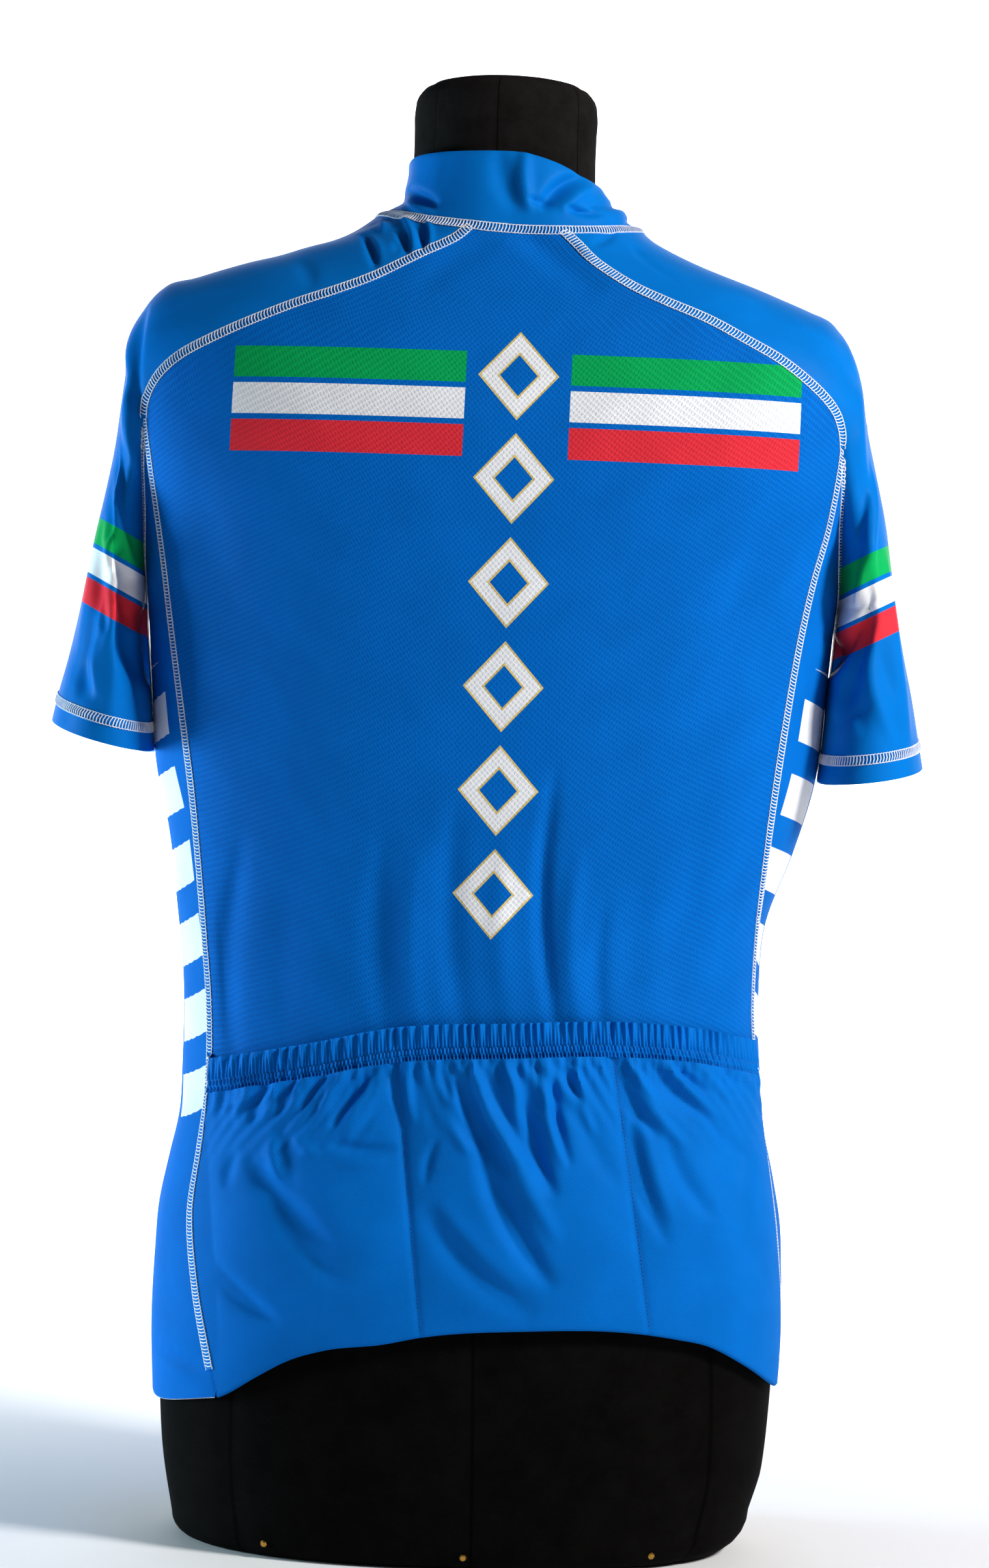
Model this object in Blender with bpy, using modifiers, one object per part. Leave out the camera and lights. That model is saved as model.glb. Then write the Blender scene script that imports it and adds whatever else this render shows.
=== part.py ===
"""A short-sleeved cycling jersey with a stand collar, on a limbless tailor's form.

Metres, +Z up.  The front faces -Y and the wearer's left is +X.  The origin is the middle
of the form's flat base.  The cloth is a set of cut panels: each is a wall whose outer
face lies on a few named sections, so neighbours meet along one shared seam line.
"""

import math

import bmesh
import bpy
import numpy as np

# Driving dimensions.
CLOTH = 0.0012                # thickness of a knitted panel's wall
COLLAR_CLOTH = 0.0016         # the collar is the same knit, doubled
SEAM_GAP = 0.0003             # between two panels' edges at a seam
LAYER_GAP = 0.0006            # between a layer and the curved panel it lies on
POCKET_GAP = 0.0010           # between the back and the pocket's flat parts
HEM_TURN = 0.0035             # how far the back ends above the pocket's rolled edge
FORM_GAP = 0.0009             # least room between the form and the cloth's inner face
BASE_ROUNDING = 0.012         # radius of the form's bottom edge
WORN_ROUNDING = 0.014         # how much larger it is on the wearer's right, where it is worn
UNDERARM_DROP = 0.098         # how far the armhole dips below the ends of the raglan seams
ZIP_GAP = 0.0070              # between the two fronts' edges
POCKET_HEADING = 0.0130       # frill above the pocket's elastic
POCKET_ELASTIC = 0.0085       # height of the shirred elastic
GATHERS = 64                  # gathers along the pocket's heading
LEFT, RIGHT = 1.0, -1.0
BACK, FRONT = 1.0, -1.0

# Horizontal sections of the form and of the jersey's body, as superellipses.
SECTION_COLUMNS = ("z", "half_width", "back", "front", "squareness")
FORM_SECTIONS = (
    (0.012, 0.1860, 0.1165, 0.1085, 2.40),
    (0.050, 0.1930, 0.1215, 0.1120, 2.40),
    (0.095, 0.1968, 0.1225, 0.1130, 2.40),
    (0.145, 0.1980, 0.1215, 0.1130, 2.35),
    (0.192, 0.1955, 0.1190, 0.1120, 2.30),
    (0.240, 0.1870, 0.1135, 0.1080, 2.25),
    (0.290, 0.1785, 0.1050, 0.1045, 2.25),
    (0.340, 0.1740, 0.0980, 0.1040, 2.20),
    (0.400, 0.1770, 0.0970, 0.1080, 2.20),
    (0.470, 0.1860, 0.1020, 0.1160, 2.25),
    (0.540, 0.1930, 0.1080, 0.1220, 2.30),
    (0.610, 0.1985, 0.1130, 0.1240, 2.35),
    (0.670, 0.2010, 0.1150, 0.1190, 2.45),
    (0.710, 0.2030, 0.1125, 0.1110, 2.50),
    (0.745, 0.2040, 0.1055, 0.1005, 2.50),
    (0.770, 0.2025, 0.0990, 0.0900, 2.45),
    (0.786, 0.1985, 0.0925, 0.0830, 2.45),
    (0.799, 0.1850, 0.0855, 0.0765, 2.40),
    (0.809, 0.1610, 0.0795, 0.0715, 2.35),
    (0.8175, 0.1370, 0.0745, 0.0670, 2.30),
    (0.826, 0.1165, 0.0705, 0.0635, 2.30),
    (0.834, 0.1000, 0.0672, 0.0605, 2.30),
    (0.842, 0.0835, 0.0640, 0.0585, 2.25),
    (0.852, 0.0665, 0.0600, 0.0565, 2.15),
    (0.866, 0.0605, 0.0568, 0.0550, 2.10),
    (0.885, 0.0590, 0.0550, 0.0535, 2.10),
    (0.905, 0.0590, 0.0545, 0.0530, 2.10),
    (0.920, 0.0583, 0.0535, 0.0522, 2.10),
    (0.929, 0.0552, 0.0505, 0.0492, 2.15),
    (0.9350, 0.0485, 0.0440, 0.0430, 2.15),
    (0.9385, 0.0350, 0.0320, 0.0310, 2.00),
    (0.9395, 0.0170, 0.0155, 0.0150, 2.00),
)
JERSEY_SECTIONS = (
    (0.080, 0.2005, 0.1250, 0.1180, 2.40),
    (0.140, 0.2032, 0.1275, 0.1195, 2.40),
    (0.180, 0.2022, 0.1280, 0.1205, 2.40),
    (0.210, 0.2005, 0.1272, 0.1210, 2.40),
    (0.240, 0.1950, 0.1250, 0.1210, 2.40),
    (0.270, 0.1888, 0.1220, 0.1205, 2.35),
    (0.300, 0.1870, 0.1190, 0.1200, 2.30),
    (0.330, 0.1857, 0.1165, 0.1200, 2.30),
    (0.360, 0.1861, 0.1145, 0.1205, 2.30),
    (0.400, 0.1899, 0.1125, 0.1225, 2.30),
    (0.450, 0.2021, 0.1125, 0.1265, 2.30),
    (0.490, 0.2124, 0.1140, 0.1300, 2.30),
    (0.550, 0.2180, 0.1165, 0.1335, 2.35),
    (0.605, 0.2225, 0.1190, 0.1335, 2.45),
    (0.650, 0.2275, 0.1205, 0.1300, 2.70),
    (0.690, 0.2333, 0.1205, 0.1240, 3.00),
    (0.720, 0.2370, 0.1175, 0.1165, 3.00),
    (0.750, 0.2365, 0.1110, 0.1070, 3.00),
    (0.775, 0.2310, 0.1020, 0.0960, 2.90),
    (0.800, 0.2160, 0.0905, 0.0840, 2.80),
    (0.820, 0.2000, 0.0795, 0.0735, 2.70),
    (0.836, 0.1850, 0.0715, 0.0680, 2.60),
    (0.860, 0.1700, 0.0650, 0.0620, 2.50),
)
LEAN_COLUMNS = ("z", "shift")
FORM_LEAN = (
    (0.00, 0.0000), (0.78, 0.0000), (0.84, 0.0008), (0.87, 0.0014), (0.94, 0.0014),
)
JERSEY_LEAN = (
    (0.08, 0.0000), (0.20, 0.0006), (0.27, 0.0012), (0.33, 0.0038), (0.36, 0.0049),
    (0.40, 0.0062), (0.45, 0.0012), (0.49, 0.0003), (0.60, 0.0000), (0.90, 0.0000),
)

# The back seam of each side, from the collar along the raglan to the armhole (the first
# RAGLAN_ROWS rows), and from there down the side to the hem.  The jersey sits turned on
# the form, so left and right differ.
SEAM_COLUMNS = ("x_left", "z_left", "x_right", "z_right")
RAGLAN_ROWS = 12
BACK_SEAM = (
    (0.0212, 0.8367, 0.0368, 0.8351),
    (0.0312, 0.8276, 0.0460, 0.8265),
    (0.0511, 0.8167, 0.0585, 0.8140),
    (0.0795, 0.8005, 0.0800, 0.8000),
    (0.1040, 0.7900, 0.1023, 0.7900),
    (0.1289, 0.7807, 0.1290, 0.7795),
    (0.1585, 0.7680, 0.1531, 0.7674),
    (0.1793, 0.7582, 0.1750, 0.7560),
    (0.1990, 0.7478, 0.1940, 0.7428),
    (0.2125, 0.7365, 0.2081, 0.7301),
    (0.2200, 0.7240, 0.2146, 0.7185),
    (0.2224, 0.7090, 0.2168, 0.7040),
    (0.2185, 0.6840, 0.2143, 0.6800),
    (0.2140, 0.6560, 0.2098, 0.6520),
    (0.2080, 0.6200, 0.2015, 0.6180),
    (0.2015, 0.5770, 0.1938, 0.5760),
    (0.1932, 0.5270, 0.1870, 0.5260),
    (0.1855, 0.4800, 0.1818, 0.4800),
    (0.1795, 0.4330, 0.1780, 0.4330),
    (0.1740, 0.3860, 0.1755, 0.3860),
    (0.1690, 0.3400, 0.1755, 0.3400),
    (0.1675, 0.2950, 0.1810, 0.2950),
    (0.1715, 0.2500, 0.1882, 0.2500),
    (0.1755, 0.2080, 0.1945, 0.2080),
    (0.1700, 0.1640, 0.1990, 0.1660),
    (0.1610, 0.1240, 0.2000, 0.1330),
    (0.1550, 0.0985, 0.1990, 0.1090),
)
FRONT_RAGLAN_COLUMNS = ("x", "z")
FRONT_RAGLAN = (
    (0.0580, 0.8270), (0.0650, 0.8205), (0.0750, 0.8120), (0.0900, 0.8010),
    (0.1080, 0.7895), (0.1300, 0.7780), (0.1520, 0.7675), (0.1720, 0.7570),
    (0.1910, 0.7445), (0.2060, 0.7310), (0.2145, 0.7180), (0.2172, 0.7035),
)

# Each row of a raglan sleeve is a curve from the seam to the ridge over the shoulder and
# down the arm, once round the back and once round the front.  x and z are the ridge's on
# either side, "out", "away" and "up" give the handle at the seam, and "over" the one at
# the ridge.
SLEEVE_COLUMNS = ("x_left", "z_left", "x_right", "z_right", "out", "away", "up", "over")
SLEEVE_ROWS = (
    (0.0820, 0.8515, 0.0885, 0.8470, 0.020, -0.004, 0.004, 0.036),
    (0.0975, 0.8400, 0.0985, 0.8385, 0.022, -0.008, 0.008, 0.042),
    (0.1125, 0.8325, 0.1125, 0.8312, 0.020, -0.010, 0.012, 0.044),
    (0.1295, 0.8275, 0.1295, 0.8237, 0.017, -0.012, 0.017, 0.046),
    (0.1470, 0.8216, 0.1470, 0.8172, 0.014, -0.012, 0.019, 0.047),
    (0.1640, 0.8172, 0.1640, 0.8111, 0.011, -0.011, 0.021, 0.048),
    (0.1815, 0.8119, 0.1815, 0.8045, 0.008, -0.010, 0.023, 0.048),
    (0.1985, 0.8063, 0.1985, 0.7979, 0.008, -0.008, 0.024, 0.047),
    (0.2165, 0.8010, 0.2130, 0.7915, 0.009, -0.005, 0.025, 0.046),
    (0.2310, 0.7840, 0.2215, 0.7790, 0.011, -0.002, 0.023, 0.046),
    (0.2380, 0.7570, 0.2318, 0.7560, 0.013, 0.001, 0.016, 0.048),
    (0.2422, 0.7270, 0.2371, 0.7270, 0.013, 0.005, 0.008, 0.052),
    (0.2464, 0.6950, 0.2451, 0.6950, 0.006, 0.026, 0.012, 0.064),
    (0.2518, 0.6645, 0.2521, 0.6645, 0.003, 0.050, 0.010, 0.076),
    (0.2581, 0.6330, 0.2571, 0.6330, 0.002, 0.072, 0.006, 0.086),
    (0.2642, 0.6020, 0.2622, 0.6020, 0.000, 0.088, 0.000, 0.092),
    (0.2682, 0.5795, 0.2673, 0.5795, 0.000, 0.093, -0.002, 0.093),
    (0.2722, 0.5575, 0.2732, 0.5575, 0.000, 0.093, -0.004, 0.093),
    (0.2775, 0.5365, 0.2780, 0.5365, 0.000, 0.093, -0.007, 0.093),
    (0.2816, 0.5170, 0.2823, 0.5170, 0.000, 0.093, -0.010, 0.093),
)
ARMHOLE_STEPS = 4             # rows between the raglan's end and the underarm point
INNER_ARM_COLUMNS = ("x", "z")
INNER_ARM = ((0.2236, 0.5820), (0.2222, 0.5560), (0.2206, 0.5290), (0.2192, 0.5010))
CUFF_HEIGHT = {LEFT: 0.003, RIGHT: -0.010}    # the left cuff rides a little higher

# The neckline and the collar's top edge, from the zip round the wearer's left shoulder,
# the back and the right shoulder to the zip.
NECK_COLUMNS = ("x", "y", "z")
NECKLINE = (
    (0.0035, -0.0850, 0.7950), (0.0300, -0.0805, 0.8040), (0.0580, -0.0690, 0.8270),
    (0.0760, -0.0380, 0.8430), (0.0820, -0.0040, 0.8515), (0.0715, 0.0340, 0.8475),
    (0.0500, 0.0575, 0.8410), (0.0212, 0.0710, 0.8367), (-0.0078, 0.0725, 0.8347),
    (-0.0368, 0.0712, 0.8351), (-0.0630, 0.0580, 0.8380), (-0.0815, 0.0330, 0.8432),
    (-0.0885, -0.0040, 0.8470), (-0.0800, -0.0400, 0.8390), (-0.0580, -0.0690, 0.8270),
    (-0.0300, -0.0805, 0.8040), (-0.0035, -0.0850, 0.7950),
)
COLLAR_TOP = (
    (0.0035, -0.0790, 0.8400), (0.0270, -0.0745, 0.8460), (0.0480, -0.0590, 0.8610),
    (0.0605, -0.0330, 0.8760), (0.0637, -0.0020, 0.8840), (0.0595, 0.0290, 0.8850),
    (0.0450, 0.0500, 0.8850), (0.0212, 0.0615, 0.8850), (-0.0078, 0.0635, 0.8848),
    (-0.0310, 0.0590, 0.8800), (-0.0510, 0.0460, 0.8725), (-0.0610, 0.0250, 0.8700),
    (-0.0622, -0.0020, 0.8685), (-0.0598, -0.0320, 0.8640), (-0.0480, -0.0580, 0.8560),
    (-0.0270, -0.0745, 0.8450), (-0.0035, -0.0790, 0.8400),
)
RAGLAN_FRONT_AT, RAGLAN_BACK_AT = 2, 7        # rows of NECKLINE where the left raglans end
NECK_STEPS = len(NECKLINE) - 1

# The back's lower edge and the pocket's upper edge, by place across the back.
EDGE_COLUMNS = ("x", "z")
BACK_HEM = (
    (-0.2000, 0.1080), (-0.1810, 0.1247), (-0.1667, 0.1346), (-0.1520, 0.1427),
    (-0.1290, 0.1488), (-0.1034, 0.1528), (-0.0332, 0.1532), (0.0286, 0.1472),
    (0.0506, 0.1422), (0.0860, 0.1365), (0.1070, 0.1293), (0.1300, 0.1154),
    (0.1480, 0.1030), (0.1600, 0.0970),
)
POCKET_TOP = (
    (-0.1900, 0.3250), (-0.1765, 0.3283), (-0.1400, 0.3370), (-0.0920, 0.3413),
    (-0.0200, 0.3388), (0.0515, 0.3335), (0.1000, 0.3220), (0.1578, 0.3091),
    (0.1750, 0.3050),
)
HEM_DIP = {LEFT: 0.014, RIGHT: 0.003}         # how far the side panel's hem hangs lower
HEM_AT_ZIP = 0.100

# The zip's line down the front, turned with the jersey.
ZIP_COLUMNS = ("z", "x")
ZIP_LINE = (
    (0.08, 0.0440), (0.14, 0.0400), (0.22, 0.0300), (0.33, 0.0170),
    (0.45, 0.0070), (0.60, 0.0020), (0.72, 0.0000), (0.90, 0.0000),
)

# Creases: a soft trough (or a ridge, where the depth is negative) from one end to the
# other.  On the back and the pocket the ends are x and z.  On a sleeve they are the share
# of the way round, from the underarm by the back and the ridge to the front, and of the
# way down, from collar to cuff.
CREASE_COLUMNS = ("from_a", "from_b", "to_a", "to_b", "half_width", "depth")
BACK_CREASES = (
    (-0.0440, 0.470, -0.0520, 0.325, 0.0075, 0.0040),
    (-0.0600, 0.430, -0.0680, 0.325, 0.0065, -0.0025),
    (0.0180, 0.440, 0.0060, 0.325, 0.0080, 0.0022),
    (0.0380, 0.400, 0.0330, 0.325, 0.0070, -0.0018),
    (0.0620, 0.430, 0.0560, 0.325, 0.0090, 0.0018),
    (0.1480, 0.400, 0.1500, 0.300, 0.0080, 0.0020),
    (-0.0050, 0.826, -0.0600, 0.796, 0.0090, 0.0014),
)
POCKET_CREASES = (
    (-0.0230, 0.312, -0.0640, 0.215, 0.0065, 0.0042),
    (0.0080, 0.312, -0.0120, 0.235, 0.0055, 0.0030),
    (0.0220, 0.312, -0.0080, 0.250, 0.0050, 0.0026),
    (0.0480, 0.311, 0.0450, 0.255, 0.0045, 0.0028),
    (-0.0420, 0.315, -0.0490, 0.230, 0.0050, 0.0030),
    (-0.0600, 0.316, -0.0950, 0.240, 0.0060, 0.0030),
    (-0.0960, 0.318, -0.1500, 0.200, 0.0070, 0.0046),
    (-0.1180, 0.316, -0.1650, 0.250, 0.0055, 0.0030),
    (-0.1380, 0.313, -0.1720, 0.265, 0.0050, 0.0024),
    (0.0860, 0.303, 0.1180, 0.225, 0.0070, 0.0034),
    (0.0720, 0.306, 0.0880, 0.245, 0.0055, 0.0022),
    (0.1080, 0.299, 0.1360, 0.240, 0.0055, 0.0026),
    (0.1320, 0.294, 0.1500, 0.255, 0.0050, 0.0022),
)
SLEEVE_CREASES = {
    LEFT: (
        (0.330, 0.10, 0.080, 0.20, 0.030, 0.0016),
        (0.260, 0.02, 0.100, 0.17, 0.022, 0.0018),
        (0.270, 0.62, 0.220, 0.98, 0.028, -0.0060),
        (0.180, 0.72, 0.120, 0.97, 0.030, 0.0060),
        (0.360, 0.70, 0.330, 0.97, 0.034, 0.0040),
        (0.720, 0.60, 0.800, 0.95, 0.036, 0.0050),
        (0.620, 0.72, 0.640, 0.97, 0.034, -0.0040),
    ),
    RIGHT: (
        (0.330, 0.62, 0.150, 0.78, 0.026, -0.0070),
        (0.280, 0.76, 0.120, 0.92, 0.036, 0.0080),
        (0.360, 0.72, 0.380, 0.97, 0.032, -0.0040),
        (0.210, 0.08, 0.120, 0.20, 0.026, 0.0012),
        (0.720, 0.62, 0.790, 0.95, 0.036, 0.0050),
        (0.620, 0.70, 0.660, 0.97, 0.034, -0.0040),
    ),
}
COLLAR_CREASES = (
    (0.505, 0.40, 0.555, 0.36, 0.022, 0.0020),
    (0.545, 0.36, 0.605, 0.80, 0.022, 0.0024),
    (0.585, 0.37, 0.660, 0.46, 0.020, 0.0018),
    (0.510, 0.98, 0.510, 0.60, 0.020, -0.0012),
    (0.270, 0.62, 0.370, 0.20, 0.020, 0.0018),
)
# How the collar's wall departs from the straight line between its two edges, by the share
# of the way round: outward and up, at each level.  It stands upright and flares just above
# its seam.  On the wearer's right it has slumped into two lobes.
COLLAR_LEVELS = (1.0, 0.82, 0.62, 0.46, 0.34, 0.20, 0.07, 0.0)
COLLAR_WALL = (
    (0.00, ((0, 0), (0, 0), (0, 0), (0, 0), (0, 0), (0, 0), (0, 0), (0, 0))),
    (0.06, ((0, 0), (0, 0), (0, 0), (0, 0), (0, 0), (0, 0), (0, 0), (0, 0))),
    (0.14, ((0, 0), (-1.0, 0), (-2.0, 0), (-2.6, 0), (-3.0, 0), (-3.0, 0), (-1.6, 0.4), (0, 0))),
    (0.25, ((0, 0), (-3.3, 0), (-6.0, 0.8), (-8.0, 2.0), (-10.0, 1.5), (-11.0, 1.0), (-6.5, 1.6),
            (0, 0))),
    (0.34, ((0, 0), (-1.6, 0), (-3.2, 0), (-4.2, 0), (-4.8, 0), (-4.4, 0), (-2.0, 0.5), (0, 0))),
    (0.44, ((0, 0), (0.2, 0), (0.2, 0), (0, 0), (-0.4, 0), (-0.6, 0), (-0.4, 0), (0, 0))),
    (0.55, ((0, 0), (0.6, 0), (1.0, 0), (0.8, 0), (0.4, 0), (0, 0), (-0.3, 0), (0, 0))),
    (0.65, ((0, 0), (-0.2, 0.3), (-0.6, 0.8), (-1.4, 0.8), (0.2, 1.6), (0.2, 1.4), (-1.0, 0.8),
            (0, 0))),
    (0.75, ((0, 0), (-2.6, 1.4), (-5.2, 3.4), (-7.4, 3.2), (-4.2, 4.8), (-4.4, 3.5), (-6.2, 1.9),
            (0, 0))),
    (0.86, ((0, 0), (-1.0, 0.3), (-2.0, 0.8), (-2.6, 0.8), (-2.4, 1.0), (-2.4, 0.8), (-1.6, 0.5),
            (0, 0))),
    (0.94, ((0, 0), (0, 0), (0, 0), (0, 0), (0, 0), (0, 0), (0, 0), (0, 0))),
    (1.00, ((0, 0), (0, 0), (0, 0), (0, 0), (0, 0), (0, 0), (0, 0), (0, 0))),
)

# The zip's slider and its pull tab.
SLIDER = {"width": 0.0076, "height": 0.0115, "thickness": 0.0024}
BRIDGE = {"radius": 0.0027, "wire": 0.0007}
PULL = {"width": 0.0056, "length": 0.0225, "thickness": 0.0012, "eye": 0.0030}
SLIDER_Z = 0.8295             # height of the pull tab's hinge
PIN_RADIUS = 0.0024
PIN_RISE = 0.0095             # height of the brass pins above the base
PIN_PLACES = ((0.121, BACK), (-0.003, BACK), (-0.121, BACK))

FINISHES = {
    # name: (colour, roughness, metallic)
    "mesh_knit": ((0.004, 0.155, 0.560, 1.0), 0.62, 0.0),
    "stretch_knit": ((0.004, 0.195, 0.560, 1.0), 0.45, 0.0),
    "form_cloth": ((0.006, 0.006, 0.006, 1.0), 0.85, 0.0),
    "brass": ((0.560, 0.360, 0.120, 1.0), 0.35, 1.0),
    "zip_tape": ((0.004, 0.120, 0.420, 1.0), 0.70, 0.0),
    "slider_metal": ((0.500, 0.510, 0.520, 1.0), 0.30, 1.0),
}


# Tables and curves.

def column(rows, names, name):
    return np.array([row[names.index(name)] for row in rows], dtype=float)


def smooth(xs, ys):
    """A smooth curve through the points, straight on beyond its ends."""
    xs, ys = np.asarray(xs, dtype=float), np.asarray(ys, dtype=float)
    slopes = np.gradient(ys, xs)

    def value(x):
        x = np.clip(np.asarray(x, dtype=float), xs[0], xs[-1])
        i = np.clip(np.searchsorted(xs, x, side="right") - 1, 0, len(xs) - 2)
        step = xs[i + 1] - xs[i]
        t = (x - xs[i]) / step
        rise = ys[i + 1] - ys[i]
        bend = slopes[i] * step
        bend_end = slopes[i + 1] * step
        return (ys[i] + t * bend + t * t * (3 * rise - 2 * bend - bend_end)
                + t ** 3 * (bend + bend_end - 2 * rise))

    return value


def smooth_path(rows):
    """A smooth path through points in space, by the share of the rows passed."""
    shares = np.linspace(0.0, 1.0, len(rows))
    parts = [smooth(shares, [row[axis] for row in rows]) for axis in range(3)]
    return lambda share: np.stack([part(share) for part in parts], axis=-1)


def sections(rows, lean):
    shape = {name: smooth(column(rows, SECTION_COLUMNS, "z"), column(rows, SECTION_COLUMNS, name))
             for name in SECTION_COLUMNS[1:]}
    shape["shift"] = lean
    return shape


FORM = sections(FORM_SECTIONS, smooth(column(FORM_LEAN, LEAN_COLUMNS, "z"),
                                      column(FORM_LEAN, LEAN_COLUMNS, "shift")))
JERSEY = sections(JERSEY_SECTIONS, smooth(column(JERSEY_LEAN, LEAN_COLUMNS, "z"),
                                          column(JERSEY_LEAN, LEAN_COLUMNS, "shift")))


def depth_at(shape, z, facing):
    return np.where(np.asarray(facing) > 0, shape["back"](z), shape["front"](z))


def y_on(shape, x, z, facing):
    """Where the section at height z has the width x, at its back or its front."""
    power = shape["squareness"](z)
    share = np.clip(np.abs(x - shape["shift"](z)) / shape["half_width"](z), 0.0, 0.999)
    return facing * depth_at(shape, z, facing) * (1 - share ** power) ** (1 / power)


def x_on(shape, y, z, side):
    """Where the section at height z has the depth y, at its left or its right."""
    power = shape["squareness"](z)
    share = np.clip(np.abs(y) / depth_at(shape, z, y), 0.0, 0.999)
    return shape["shift"](z) + side * shape["half_width"](z) * (1 - share ** power) ** (1 / power)


def on_section(shape, x, z, facing):
    x, z = np.broadcast_arrays(np.asarray(x, dtype=float), np.asarray(z, dtype=float))
    return np.stack([x, y_on(shape, x, z, facing), z], axis=-1)


def reach(shape, points):
    """1 on the surface, less inside it and more outside."""
    x, y, z = points[..., 0], points[..., 1], points[..., 2]
    power = shape["squareness"](z)
    across = np.abs(x - shape["shift"](z)) / shape["half_width"](z)
    along = np.abs(y) / depth_at(shape, z, y)
    return (across ** power + along ** power + 1e-12) ** (1 / power)


def outward(shape, points):
    """The direction away from the surface, and how far off it each point is."""
    step = 1e-4
    slope = np.empty_like(points)
    for axis in range(3):
        move = np.zeros(3)
        move[axis] = step
        slope[..., axis] = (reach(shape, points + move) - reach(shape, points - move)) / (2 * step)
    size = np.linalg.norm(slope, axis=-1, keepdims=True)
    return slope / size, (reach(shape, points)[..., None] - 1) / size


def keep_clear(shape, points, gap):
    """Moves out whatever lies nearer to the surface than the gap."""
    for _ in range(4):
        away, distance = outward(shape, points)
        points = points + away * np.clip(gap - distance, 0.0, 0.02)
    return points


def move_out(points, amounts):
    """Moves a grid's points along its own normals."""
    down = np.gradient(points, axis=0)
    along = np.gradient(points, axis=1)
    normals = np.cross(along, down)
    normals /= np.linalg.norm(normals, axis=-1, keepdims=True)
    return points + normals * amounts[..., None]


def creases(rows, a, b):
    """How far the creases push each point in."""
    depth = np.zeros(np.broadcast(a, b).shape)
    for from_a, from_b, to_a, to_b, half_width, most in rows:
        run_a, run_b = to_a - from_a, to_b - from_b
        length = math.hypot(run_a, run_b)
        share = ((a - from_a) * run_a + (b - from_b) * run_b) / length ** 2
        off = np.abs((a - from_a) * run_b - (b - from_b) * run_a) / length
        ends = np.clip(1 - (2 * share - 1) ** 4, 0.0, 1.0) * (np.abs(share - 0.5) < 0.5)
        depth = depth + most * ends * np.exp(-(off / half_width) ** 2)
    return depth


# Seam lines that neighbouring panels share.

def seam(side, facing):
    """Points of a side's back or front seam, from the collar to the hem."""
    own, other = ("left", "right") if side > 0 else ("right", "left")
    if facing > 0:
        x = column(BACK_SEAM, SEAM_COLUMNS, "x_" + own)
        z = column(BACK_SEAM, SEAM_COLUMNS, "z_" + own)
    else:
        # Turned on the form, the front's left side lies where the back's right side does.
        x = column(BACK_SEAM, SEAM_COLUMNS, "x_" + other)
        z = column(BACK_SEAM, SEAM_COLUMNS, "z_" + other)
        x[:RAGLAN_ROWS] = column(FRONT_RAGLAN, FRONT_RAGLAN_COLUMNS, "x")
        z[:RAGLAN_ROWS] = column(FRONT_RAGLAN, FRONT_RAGLAN_COLUMNS, "z")
    points = on_section(JERSEY, side * x, z, facing)
    points[0] = neckline(neck_share(side, facing))
    return points


neckline = smooth_path(NECKLINE)
collar_top = smooth_path(COLLAR_TOP)
zip_x = smooth(column(ZIP_LINE, ZIP_COLUMNS, "z"), column(ZIP_LINE, ZIP_COLUMNS, "x"))
back_hem = smooth(column(BACK_HEM, EDGE_COLUMNS, "x"), column(BACK_HEM, EDGE_COLUMNS, "z"))
pocket_top = smooth(column(POCKET_TOP, EDGE_COLUMNS, "x"), column(POCKET_TOP, EDGE_COLUMNS, "z"))


def neck_share(side, facing):
    """Where on the neckline a raglan seam ends."""
    row = RAGLAN_BACK_AT if facing > 0 else RAGLAN_FRONT_AT
    return row / NECK_STEPS if side > 0 else 1 - row / NECK_STEPS


def armhole(side):
    """The side panel's top edge, from the back seam down under the arm to the front."""
    first, last = seam(side, BACK)[RAGLAN_ROWS - 1], seam(side, FRONT)[RAGLAN_ROWS - 1]
    share = np.linspace(0.0, 1.0, 2 * ARMHOLE_STEPS + 1)
    y = first[1] + (last[1] - first[1]) * share
    z = first[2] + (last[2] - first[2]) * share - UNDERARM_DROP * np.sin(math.pi * share) ** 0.8
    points = np.stack([x_on(JERSEY, y, z, side), y, z], axis=-1)
    points[0], points[-1] = first, last
    return points


# Grids of outer points, a row for each step down and a column for each step across.

def spread(count, bend=1.15):
    """Steps from -1 to 1, closer together towards the ends."""
    return np.sin(np.linspace(-bend, bend, count)) / math.sin(bend)


def back_grid(columns=25):
    left, right = seam(LEFT, BACK), seam(RIGHT, BACK)
    share = (spread(columns) + 1) / 2
    x = right[:, None, 0] + (left[:, None, 0] - right[:, None, 0]) * share
    z = right[:, None, 2] + (left[:, None, 2] - right[:, None, 2]) * share
    rise = back_hem(x[-1]) + HEM_TURN - z[-1]
    rise[0], rise[-1] = 0.0, 0.0
    for up in range(8):
        z[-1 - up] += rise * (1 - up / 8) ** 1.5
    points = on_section(JERSEY, x, z, BACK)
    neck = neckline(np.linspace(neck_share(RIGHT, BACK), neck_share(LEFT, BACK), columns))
    points[0] = neck
    points[:, 0], points[:, -1] = right, left
    behind_pocket = z < pocket_top(x) - 0.010
    depth = np.where(behind_pocket, 0.0, creases(BACK_CREASES, x, z))
    depth[:, [0, -1]] = 0.0
    return points - depth[..., None] * np.array([0.0, 1.0, 0.0])


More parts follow.
